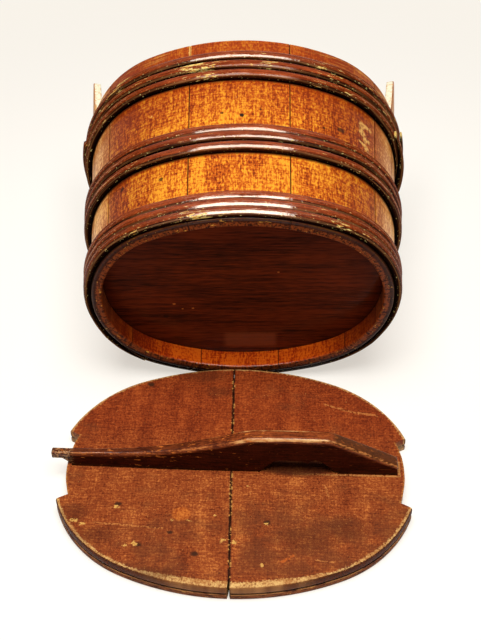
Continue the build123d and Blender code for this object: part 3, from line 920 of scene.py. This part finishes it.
def foot_end_grain(f, wood, depth, mottle):
    """Dark end grain with painted shadow along the outside, next to the foot hoop, and yellow chips."""
    end_tone = f.total(0.5, (2.4, mottle), (1.6, f.noise(wood, (5, 5, 2.2), 2)))
    end_colour = f.ramp(end_tone, 0.1, 0.75, (52, 20, 7), (150, 68, 24))
    # painted shadow of the foot hoop along the outside of the end grain
    end_colour = f.over(end_colour, (34, 12, 4), f.step(depth, 4.5, 1.5), 0.8)
    chips = f.step(f.noise(wood, (7, 3, 2.5), 3, 0.6, 12.0), 0.645, 0.69)
    return f.over(end_colour, (244, 170, 66), chips)


def paint_stave_marks(f, place, mottle, fibre):
    """Single marks on the upper side: a nail head, knots, a rubbed patch, a split."""
    nail = f.spots(f.shaken(place, 0.8, 1.5), [(0, 132, 2.1, 2.3)], 0.35)
    knots = [(95, 135, 3.6, 3.2), (78, 130, 1.4, 1.4), (94, 105, 2.0, 2.0), (-19, 136, 1.6, 1.4),
             (18, 141, 1.3, 1.2), (-74, 62, 2.0, 2.2), (-112, 70, 2.0, 2.0)]
    dark = f.spots(f.shaken(place, 3.0, 2.5), knots, 0.7)
    patches = [(117, 152, 2.6, 10), (122, 160, 6, 2.6), (121, 141, 3.4, 4), (117, 133, 3.6, 2.4),
               (121, 128, 2.4, 4), (14, 186, 9, 2.4), (104, 118, 3.0, 1.6), (-4, 157, 1.2, 1.6),
               (-88, 152, 1.4, 1.4)]
    rubbed = f.spots(f.shaken(place, 9.0, 5.0), patches, 0.8)
    rubbed = f.times(rubbed, f.step(f.total(0.5, (1.0, mottle), (0.8, fibre)), 0.3, 0.48))
    split = f.stroke(f.shaken(place, 1.6, 3.0), (-52.6, 228), (-52.6, 243), 0.8)
    f.paint((244, 184, 96), f.most(rubbed, split), 0.85)
    f.paint((52, 20, 8), dark, 0.85)
    f.paint((26, 22, 20), nail, 0.96)


def stave_finish():
    """Amber varnish over figured wood, bare wood inside and on the ears, dark foot end."""
    f = Finish("amber_varnished_stave")
    wood, place = f.mark("wood"), f.mark("place")
    _, axial, depth = f.parts(wood)
    bare, grime_and_shade, foot = f.parts(f.mark("state"))
    x_place, _, rim = f.parts(place)
    streak = f.noise(wood, (9, 150, 30), 3)
    cloud = f.noise(wood, (38, 60, 40), 1, 0.5, 3.1)
    mottle = f.noise(wood, (1.9, 3.6, 6), 3, 0.65, 1.7)
    fibre = f.noise(wood, (0.9, 14, 6), 2, 0.6, 5.3)
    comb = f.noise(wood, (30, 1.3, 12), 2, 0.7, 8.9)
    tone = f.total(0.5, (1.2, streak), (0.8, cloud), (2.7, mottle), (1.5, fibre), (1.4, comb))
    lower_side = f.calc("GREATER_THAN", x_place, LOWER_SIDE / 2)
    off = f.calc("ABSOLUTE", f.calc("SUBTRACT", x_place, f.times(lower_side, LOWER_SIDE)))
    amber = amber_varnish_and_painted_light(f, tone, off, axial, depth)
    bare_mask = f.step(f.total(bare, (0.5, mottle)), 0.35, 0.6)
    f.colour = f.over(amber, bare_stave_wood(f, axial, streak, fibre, cloud), bare_mask)
    f.paint(foot_end_grain(f, wood, depth, mottle), foot, f.rest(bare_mask))
    # dirt and painted shade beside the hoops, and dirt in the joints
    dirt_and_shade = f.step(f.total(grime_and_shade, (0.9, mottle), (0.5, fibre)), 0.25, 0.95)
    f.paint((46, 14, 4), dirt_and_shade, 0.9)
    # and a dark strip on the outside next to the foot: dirt and painted shadow beside the foot hoop
    strip = f.times(f.step(axial, 3.8, 2.6), f.step(depth, 1.0, 0.3), f.rest(foot))
    f.paint((30, 11, 4), strip, 0.85)
    # worn arris round the mouth and above the mouth band
    worn = f.times(rim, f.step(f.noise(wood, (6, 4, 2), 3, 0.6, 4.4), 0.5, 0.62))
    towards_ears = f.times(f.step(axial, 224, 238), f.step(off, 40, 90, 0.0, 0.8))
    scuff = f.most(f.band(axial, 221.5, 1.5, 3.0), towards_ears)
    scuff = f.times(scuff, f.step(f.noise(wood, (26, 2.2, 6), 3, 0.6, 6.6), 0.52, 0.66))
    f.paint((238, 168, 78), f.most(worn, scuff), 0.8)
    paint_stave_marks(f, place, mottle, fibre)
    normal = f.bump(f.total(0.5, (0.8, mottle), (1.0, fibre), (0.7, comb)), 0.12)
    dull = f.most(bare_mask, f.times(dirt_and_shade, 0.6))
    coat = f.times(f.step(off, 40, 110, 0.5, 0.14), f.rest(dull))
    coat_rough = f.step(mottle, 0.3, 0.7, 0.08, 0.16)
    return f.done(f.step(dull, 0, 1, 0.5, 0.75), normal, coat, coat_rough, 1.5, 0.06)


def hoop_finish():
    """Dark red lacquered saplings with yellow chips along their edges."""
    f = Finish("dark_lacquered_hoop")
    wood, place = f.mark("wood"), f.mark("place")
    damage, low, end = f.parts(f.mark("state"))
    across, proud, gloss = f.parts(place)
    off = f.parts(f.mark("turn"))[0]
    grain = f.noise(wood, (46, 1.3, 1.3), 3, 0.6)
    blotch = f.noise(wood, (16, 6, 6), 3, 0.6, 2.2)
    speck = f.noise(wood, (2.2, 1.4, 1.4), 2, 0.6, 7.7)
    tone = f.total(0.5, (1.6, grain), (1.1, blotch), (0.8, speck))
    f.colour = f.ramp(tone, 0.05, 0.95, (104, 32, 10), (190, 86, 40))
    # each hoop has its own tint, and the upright side towards the foot gets painted shade, nearly black
    hoop_tint = f.noise(wood, (900, 900, 900), 0)
    f.paint((112, 44, 20), f.step(hoop_tint, 0.35, 0.65, 0.0, 0.4))
    side = f.times(f.step(proud, 0.80, 0.66), f.step(across, -0.5, -0.8))
    f.paint(f.ramp(speck, 0.4, 0.75, (14, 4, 2), (70, 34, 15)), side, 0.8)
    # painted shade round the ends and down the flanks, with a broken painted reflection along the crest there
    round_end = f.ramp(speck, 0.3, 0.7, (52, 14, 4), (140, 60, 22))
    f.paint(round_end, f.step(off, 45, 125, 0.0, 0.6))
    flank = f.times(f.step(f.calc("ABSOLUTE", across), 0.45, 0.9), f.step(off, 5, 80, 0.2, 0.95))
    f.paint((26, 8, 3), flank)
    broken = f.step(f.total(grain, (0.5, speck)), 0.5, 0.8)
    crest = f.times(f.band(across, -0.05, 0.07, 0.24), f.step(off, 92, 138), broken)
    f.paint((290, 240, 180), crest, 0.85)
    # a thin worn ridge at the foot-side corner, and dirt with painted shade in the gaps between hoops
    ridge = f.times(f.band(proud, 0.72, 0.06, 0.12), f.step(across, -0.4, -0.7), f.step(grain, 0.35, 0.6))
    f.paint((206, 134, 76), ridge, 0.35)
    dirt_and_shade = f.step(f.total(low, (0.8, blotch)), 0.1, 0.6)
    f.paint((11, 3, 1), dirt_and_shade, 0.95)
    # chips down to yellow wood, nicks along the edges, and raw ends
    chip_noise = f.total(f.noise(wood, (8.5, 1.7, 1.7), 3, 0.65, 9.1), (0.5, blotch))
    chip = f.times(f.step(f.calc("ADD", chip_noise, damage), 0.72, 0.75), f.step(proud, 0.2, 0.45))
    nick = f.times(f.band(proud, 0.62, 0.22, 0.2), f.step(speck, 0.655, 0.70), 0.8)
    raw = f.most(chip, nick, f.step(f.total(end, (1.0, speck)), 0.4, 0.8))
    raw_colour = f.ramp(speck, 0.35, 0.65, (232, 158, 56), (255, 238, 150))
    f.paint(raw_colour, raw, 0.92)
    height = f.total(f.times(raw, -0.6), (0.9, grain), (1.4, blotch), (0.8, speck))
    normal = f.bump(height, 0.13)
    # warm gloss on the upper and lower sides, only a trace of it round the ends
    shine = f.times(gloss, f.rest(f.times(f.most(raw, dirt_and_shade, side), 0.9)))
    polish = f.times(shine, f.step(off, 45, 100, 0.8, 0.0))
    coat = f.times(shine, f.step(off, 45, 110, 0.0, 0.16))
    f.put(1.7, f.surface.inputs["IOR"])
    f.put((1.0, 0.9, 0.76, 1.0), f.surface.inputs["Specular Tint"])
    rough = f.step(blotch, 0.3, 0.7, 0.05, 0.11)
    return f.done(rough, normal, coat, 0.08, 1.5, polish)


def bottom_finish():
    """One dark, glossy board whose grain runs along the oval; its inner face is bare."""
    f = Finish("dark_glossy_bottom")
    wood = f.mark("wood")
    inside, edge, _ = f.parts(f.mark("state"))
    grain = f.noise(wood, (70, 2.6, 8), 3, 0.6)
    broad = f.noise(wood, (120, 22, 30), 2, 0.5, 3.0)
    fine = f.noise(wood, (14, 0.8, 4), 2, 0.6, 6.0)
    tone = f.total(0.5, (1.3, grain), (0.8, broad), (1.5, fine))
    f.colour = f.ramp(tone, 0.0, 1.0, (36, 8, 1), (118, 40, 9))
    # painted shade where the board meets the staves in the foot recess
    f.paint((22, 6, 2), edge, 0.5)
    # a painted reflection as a paler patch low down, a knot and a few specks
    flat = f.shaken(wood, 2.0, 1.6)
    x, up, _ = f.parts(flat)
    f.paint((170, 84, 48), f.band(x, 7, 22, 7), f.band(up, -77, 7, 6), 0.42)
    specks = [(-67, -25, 1.3, 1.0), (-59, -32, 1.1, 0.9), (-49, -31, 1.2, 0.9), (34, 18, 0.9, 0.8)]
    f.paint((26, 8, 3), f.spots(flat, [(-76, -42, 3.0, 2.4)], 0.8), 0.8)
    f.paint((190, 96, 36), f.spots(flat, specks, 0.5))
    f.paint(f.ramp(tone, 0.1, 0.9, (176, 132, 86), (222, 186, 136)), inside)
    normal = f.bump(f.total(0.5, (1.0, grain), (0.6, fine)), 0.15, 0.7)
    coat = f.step(inside, 0, 1, 0.5, 0.0)
    return f.done(f.step(inside, 0, 1, 0.5, 0.75), normal, coat, 0.1, 1.5, 0.05)


def paint_lid_edge(f, wood, place, mottle, tooth):
    """Worn band along the edge, ragged towards the middle, with painted shade in the groove and the lower
    strip outside it.
    """
    inset, _, under = f.parts(f.mark("state"))
    x, y, _ = f.parts(place)
    _, _, z = f.parts(wood)
    sweep = f.noise(place, (18, 18, 50), 2, 0.5, 3.0)
    ragged = f.total(inset, (7.0, tooth), (5.0, sweep))
    centre = f.times(f.step(y, 10, -60), f.step(f.calc("ABSOLUTE", x), 92, 35))
    limit = f.calc("ADD", 2.9, f.times(centre, 3.4))
    band = f.times(f.step(f.calc("SUBTRACT", ragged, limit), 0.6, -0.6), f.step(z, 8.0, 8.6))
    pale = f.ramp(f.total(0.5, (1.4, mottle), (1.2, sweep)), 0.2, 0.8, (190, 122, 62), (250, 202, 126))
    pale = f.over(pale, (84, 44, 20), f.step(mottle, 0.42, 0.34), 0.7)
    tan = f.ramp(sweep, 0.35, 0.65, (124, 70, 36), (184, 126, 74))
    upright = f.blend(centre, f.ramp(mottle, 0.35, 0.65, (52, 19, 7), (104, 46, 20)), tan)
    pale = f.over(pale, upright, f.step(f.total(inset, (1.6, tooth)), 1.5, 0.8))
    f.paint(pale, band, 0.92)
    # painted shade in the groove under the worn band
    groove_shade = f.times(f.step(z, 8.8, 8.0), f.step(z, 5.6, 6.3), f.step(inset, 9.0, 7.0))
    f.paint((30, 12, 5), groove_shade, 0.9)
    low = f.times(f.step(z, 6.3, 5.7), f.step(under, 0.9, 0.4))
    strip_tone = f.total(0.5, (2.2, f.noise(wood, (7, 7, 1.6), 3, 0.6, 5.5)))
    strip = f.ramp(strip_tone, 0.2, 0.8, (84, 38, 16), (158, 86, 42))
    strip = f.over(strip, (226, 160, 80), f.step(f.noise(wood, (5, 5, 2.4), 3, 0.6, 8.5), 0.62, 0.66))
    f.paint(strip, low)
    arris = f.times(f.band(z, 5.8, 0.3, 0.5), f.step(inset, 2.0, 1.0), f.step(sweep, 0.38, 0.52))
    f.paint((206, 140, 80), arris, 0.75)


def paint_lid_marks(f, place, tone, mottle):
    """Single marks on the top: a ring, dents, chips, a scratch and pale lines."""
    ring = f.spots(f.shaken(place, 1.6, 2.5), [(-45, -54, 8.2, 7.4)], 0.35)
    f.paint(f.ramp(tone, 0.1, 0.8, (176, 74, 22), (242, 138, 52)), ring, 0.55)
    dents = [(31, -61, 3.0, 2.4), (-88, 104, 3.2, 3.0), (-53, -74, 2.6, 1.8), (-30, -96, 3.4, 2.6),
             (-102, -45, 3.4, 2.0), (-79, -88, 2.6, 1.8)]
    f.paint((74, 38, 20), f.spots(f.shaken(place, 3.2, 2.2), dents, 0.9))
    chips = [(-103, -48, 2.6, 1.6), (-83, -87, 2.4, 1.7), (-91, -89, 2.0, 1.1), (-7, -81, 2.2, 1.8),
             (3, -83, 2.4, 2.2), (-139, -64, 3.6, 1.6), (-131, -68, 3.0, 1.2), (30, -62.5, 1.8, 1.2),
             (-52, -61.5, 1.6, 0.9), (-38, -61.5, 2.0, 0.8), (28, -105, 1.4, 1.3), (-15, -55, 1.6, 0.9),
             (13, -21, 1.2, 1.2), (70, 30, 0.9, 0.9)]
    chipped = f.spots(f.shaken(place, 6.5, 2.4), chips, 0.5)
    f.paint((238, 180, 92), chipped, f.step(mottle, 0.36, 0.5), 0.9)
    thin = f.shaken(place, 3.0, 4.0)
    scratch = f.times(f.stroke(thin, (43.7, -102.0), (54.8, -94.6), 0.8), f.step(mottle, 0.4, 0.55), 0.7)
    f.paint((212, 104, 38), scratch)
    pale_lines = [((73, -99), (88, -100), 0.5), ((84, 82), (108, 73), 0.7), ((108, 73), (134, 69), 0.8),
                  ((-122, -66), (-60, -70), 0.5), ((82, -18), (86, -32), 0.6)]
    lines = f.most(*(f.stroke(thin, *ends) for ends in pale_lines))
    f.paint((226, 146, 74), lines, f.step(mottle, 0.38, 0.6), 0.6)


def lid_finish():
    """Satin brown boards with a worn edge, painted shade in the groove and many small marks."""
    f = Finish("satin_brown_lid")
    wood, place = f.mark("wood"), f.mark("place")
    _, seam, under = f.parts(f.mark("state"))
    x, y, notch = f.parts(place)
    across = f.noise(wood, (16, 0.9, 5), 3, 0.65)
    along = f.noise(wood, (1.0, 22, 5), 3, 0.65, 2.0)
    mottle = f.noise(wood, (1.7, 1.7, 3), 3, 0.65, 4.0)
    broad = f.noise(wood, (16, 70, 20), 2, 0.5, 6.0)
    sheen_noise = f.noise(wood, (46, 30, 30), 3, 0.6, 9.0)
    tone = f.total(0.5, (1.3, across), (0.7, along), (1.8, mottle), (0.8, broad))
    f.colour = f.ramp(tone, 0.0, 0.5, (100, 36, 11), (154, 70, 29))
    f.paint((222, 130, 60), f.step(tone, 0.48, 1.1))
    # redder behind the bar, greyer in front of it, on the right and at the left end; the grey in front is a
    # painted reflection sheen
    f.paint(f.ramp(tone, 0.1, 1.0, (108, 34, 10), (172, 68, 24)), f.step(y, 0, 60), 0.7)
    sheen_and_tone_amount = f.calc("ADD", f.step(y, 20, -95, 0.0, 0.5), f.step(x, -5, 20, 0.0, 0.3))
    sheen_and_tone_amount = f.calc("ADD", sheen_and_tone_amount, f.step(x, -118, -150, 0.0, 0.35))
    grey_sheen_and_tone = f.step(f.total(sheen_and_tone_amount, (2.4, sheen_noise)), 0.35, 1.0)
    f.paint((106, 54, 28), grey_sheen_and_tone, 0.6)
    tooth = f.noise(place, (1.6, 1.6, 50), 3, 0.7, 1.0)
    paint_lid_edge(f, wood, place, mottle, tooth)
    # painted shade on the lid below the bar's grip, and smudges
    f.paint((58, 24, 11), f.spots(place, [(56, 3, 34, 11)], 0.5), 0.8)
    smudges = [(-140, -56, 13, 9), (-118, -78, 16, 8), (-62, -116, 20, 6), (64, -78, 22, 12),
               (98, -66, 16, 12), (-36, 118, 22, 9), (-20, 96, 12, 8)]
    f.paint((84, 38, 18), f.spots(f.shaken(place, 9.0, 9.0), smudges, 1.2), 0.5)
    # sides of the seam and of the notches, with flecks of yellow
    crack = f.times(f.step(seam, 1.9, 0.7), f.step(f.noise(wood, (30, 7, 9), 2, 0.5, 7.0), 0.28, 0.42))
    f.paint((34, 14, 6), crack, 0.85)
    fleck = f.times(f.step(seam, 2.4, 0.8), f.step(f.noise(wood, (30, 4, 9), 2, 0.5, 8.0), 0.54, 0.62))
    side = f.times(f.step(notch, 1.8, 0.6), f.step(tooth, 0.42, 0.6))
    f.paint((222, 156, 78), f.most(fleck, side), 0.8)
    paint_lid_marks(f, place, tone, mottle)
    stipple = f.step(f.noise(wood, (1.6, 1.6, 2), 1, 0.5, 31.0), 0.735, 0.78)
    f.paint((228, 158, 86), stipple, 0.7)
    # bare wood underneath
    f.paint(f.ramp(tone, 0.1, 0.9, (170, 122, 74), (220, 182, 130)), under)
    # pale wear on the lid in front of the bar, past its end and behind it
    before = f.times(f.band(y, -5.4, 0.5, 0.8), f.step(x, 50, 110), f.step(x, 151, 150))
    past = f.times(f.band(x, 150.0, 0.7, 0.9), f.band(y, 3.0, 8.0, 2.0))
    behind = f.times(f.band(y, 11.2, 0.3, 0.8), f.step(x, -120, -60))
    f.paint((214, 146, 78), f.most(before, past, behind), f.step(mottle, 0.35, 0.5), 0.8)
    normal = f.bump(f.total(0.5, (1.0, across), (0.8, along), (1.0, mottle)), 0.16)
    return f.done(f.step(mottle, 0.3, 0.7, 0.5, 0.65), normal, 0.03, 0.3, 1.45, 0.06)


def bar_finish():
    """Dark handle bar, rubbed pale where a hand holds it, with wear and painted highlights along its edges.
    """
    f = Finish("worn_bar")
    wood = f.mark("wood")
    edge, below, base = f.parts(f.mark("state"))
    x, _, _ = f.parts(wood)
    grain = f.noise(wood, (34, 1.3, 1.6), 3, 0.6)
    mottle = f.noise(wood, (2.6, 1.8, 1.8), 3, 0.65, 2.0)
    blotch = f.noise(wood, (14, 8, 6), 3, 0.6, 4.0)
    tone = f.total(0.5, (1.8, grain), (1.0, mottle), (1.0, blotch))
    # darker faces below a lighter top, a dull brown slope, and a top less worn to the left of the grip
    top_colour = f.ramp(tone, 0.05, 0.95, (80, 30, 12), (164, 78, 36))
    face = f.ramp(tone, 0.05, 0.95, (36, 8, 2), (78, 24, 8))
    f.colour = f.over(top_colour, face, f.step(below, 1.5, 5.0))
    slope = f.times(f.step(x, 86, 92), f.step(edge, 0.98, 0.9), f.step(below, 2.5, 1.0))
    f.paint((80, 46, 22), slope, 0.75)
    unworn = f.times(f.step(x, 20, -50), f.step(edge, 0.9, 0.6), f.step(below, 2.5, 1.0))
    f.paint((58, 22, 9), unworn, 0.5)
    # pale along the edges, both rubbed wear and painted highlights, most of all to the left of where it is
    # held
    past_start = f.step(x, -6, 14)
    grip = f.times(past_start, f.step(x, 92, 84))
    held = f.calc("ADD", 0.62, f.times(past_start, f.step(x, 92, 40, 0.1, 0.45)))
    rub_and_highlight = f.step(f.total(f.times(edge, held), (0.6, mottle), (0.6, blotch), (1.3, grain)), 0.5, 0.95)
    grip_colour = f.ramp(blotch, 0.35, 0.65, (206, 122, 58), (250, 194, 124))
    f.paint(f.blend(grip, (216, 138, 72), grip_colour), rub_and_highlight, 0.85)
    # chips, darker where it meets the lid, and the tongue's worn end
    chip_noise = f.calc("ADD", f.noise(wood, (9, 3, 2.2), 3, 0.6, 6.0), f.step(below, 16, 2, 0.0, 0.04))
    chip = f.times(f.step(chip_noise, 0.655, 0.68), f.step(x, 60, 0, 0.3, 1.0))
    f.paint((216, 118, 48), chip, 0.8)
    darker_at_base = f.step(f.total(base, (0.8, mottle)), 0.5, 1.0)
    f.paint((70, 36, 18), darker_at_base, 0.5)
    worn_end = f.times(f.step(f.total(x, (14, mottle)), -146, -152), f.step(mottle, 0.4, 0.5))
    f.paint(f.ramp(mottle, 0.5, 0.56, (30, 12, 5), (206, 150, 96)), worn_end, 0.75)
    normal = f.bump(f.total(0.5, (1.0, grain), (0.8, mottle)), 0.2)
    coat = f.times(f.step(below, 2.0, 5.0, 0.3, 0.1), f.rest(slope))
    return f.done(f.step(rub_and_highlight, 0, 1, 0.42, 0.5), normal, coat, 0.15, 1.5, 0.05)


# ---------------------------------------------------------------- the object
def dress(objects, material):
    for obj in objects:
        obj.data.materials.clear()
        obj.data.materials.append(material)


staves = [make_stave(name, start, end, i + 1) for i, (name, (start, end)) in enumerate(STAVES.items())]
hoops = [make_hoop(name, *spec, 20 + i) for i, (name, spec) in enumerate(HOOPS.items())]
dress(staves, stave_finish())
dress(hoops, hoop_finish())
dress([make_bottom_board()], bottom_finish())
dress(make_lid(), lid_finish())
dress([make_bar()], bar_finish())

# ---------------------------------------------------------------- studio
BACKDROP = (0.978, 0.925, 0.84, 1)
FLOOR_COLOUR = (0.90, 0.885, 0.86, 1)
FLOOR_HALF, FLOOR_DROP = 9.0, 0.0002


def make_floor():
    """Pale floor that takes shadows near the object and fades into the backdrop for the camera."""
    mesh = bpy.data.meshes.new("studio_floor")
    corners = [(-1, -1), (1, -1), (1, 1), (-1, 1)]
    mesh.from_pydata([(x * FLOOR_HALF, y * FLOOR_HALF, 0) for x, y in corners], [], [(0, 1, 2, 3)])
    floor = bpy.data.objects.new("studio_floor", mesh)
    bpy.context.scene.collection.objects.link(floor)
    floor.location.z = -FLOOR_DROP
    f = Finish("pale_floor")
    geometry = f.add("ShaderNodeNewGeometry").outputs
    f.colour = FLOOR_COLOUR
    f.done(0.7, geometry["Normal"], specular=0.2)
    glow = f.add("ShaderNodeEmission")
    f.put(BACKDROP, glow.inputs["Color"])
    away = f.feed(f.add("ShaderNodeVectorMath", operation="LENGTH"), geometry["Position"]).outputs["Value"]
    camera_ray = f.add("ShaderNodeLightPath").outputs["Is Camera Ray"]
    share = f.times(camera_ray, f.step(away, 0.3, 1.3, 0.62, 1.0))
    mix = f.feed(f.add("ShaderNodeMixShader"), share, f.surface.outputs[0], glow.outputs[0])
    f.put(mix.outputs[0], f.output)
    floor.data.materials.append(f.material)


def make_light(name, place, target, size, radiance, colour):
    data = bpy.data.lights.new(name, "AREA")
    data.shape = "RECTANGLE"
    data.size, data.size_y = size
    data.energy = radiance * math.pi * size[0] * size[1]
    data.color = colour
    obj = bpy.data.objects.new(name, data)
    obj.location = place
    obj.rotation_mode = "QUATERNION"
    obj.rotation_quaternion = (Vector(target) - Vector(place)).to_track_quat("-Z", "Y")
    obj.visible_camera = False
    bpy.context.scene.collection.objects.link(obj)


def make_world():
    """Bright low down, dim overhead and towards the camera, plain pale where the camera sees it."""
    world = bpy.data.worlds.new("studio")
    world.use_nodes = True
    bpy.context.scene.world = world
    tree = world.node_tree
    tree.nodes.clear()
    add, link = tree.nodes.new, tree.links.new
    direction = add("ShaderNodeSeparateXYZ")
    link(add("ShaderNodeTexCoord").outputs["Generated"], direction.inputs[0])
    strength = add("ShaderNodeMath")
    strength.operation = "MULTIPLY"
    for i, (axis, values) in enumerate(((2, (0.0, 0.6, 0.85, 0.14)), (1, (-0.7, 0.5, 0.5, 1.0)))):
        fade = add("ShaderNodeMapRange")
        for value, socket in zip(values, fade.inputs[1:5]):
            socket.default_value = value
        link(direction.outputs[axis], fade.inputs[0])
        link(fade.outputs[0], strength.inputs[i])
    light, seen_back = add("ShaderNodeBackground"), add("ShaderNodeBackground")
    light.inputs["Color"].default_value = (1.0, 0.985, 0.96, 1)
    seen_back.inputs["Color"].default_value = BACKDROP
    link(strength.outputs[0], light.inputs["Strength"])
    mix = add("ShaderNodeMixShader")
    link(add("ShaderNodeLightPath").outputs["Is Camera Ray"], mix.inputs[0])
    link(light.outputs[0], mix.inputs[1])
    link(seen_back.outputs[0], mix.inputs[2])
    link(mix.outputs[0], add("ShaderNodeOutputWorld").inputs[0])


def make_camera():
    """The photograph's viewpoint: above and in front, looking down at about 42 degrees."""
    pitch, swing, roll = 0.7363, -0.0162, 0.0152
    data = bpy.data.cameras.new("camera")
    data.sensor_width = 36.0
    data.lens = 59.68
    camera = bpy.data.objects.new("camera", data)
    bpy.context.scene.collection.objects.link(camera)
    forward = Vector((math.sin(swing) * math.cos(pitch), math.cos(swing) * math.cos(pitch), -math.sin(pitch)))
    right = Vector((math.cos(swing), -math.sin(swing), 0))
    down = forward.cross(right)
    level_right = right * math.cos(roll) + down * math.sin(roll)
    level_down = down * math.cos(roll) - right * math.sin(roll)
    axes = Matrix((level_right, -level_down, -forward)).transposed()
    place = Vector(((TUB_X + 9.95) / 1000, (TUB_Y - 752.2) / 1000, 0.7707))
    camera.matrix_world = Matrix.Translation(place) @ axes.to_4x4()
    bpy.context.scene.camera = camera


make_floor()
make_world()
make_light("softbox", (-0.01, -0.32, 1.40), (0, 0.0, 0.1), (1.0, 0.9), 12.0, (1.0, 0.985, 0.955))
make_camera()
bpy.context.scene.view_settings.view_transform = "Standard"
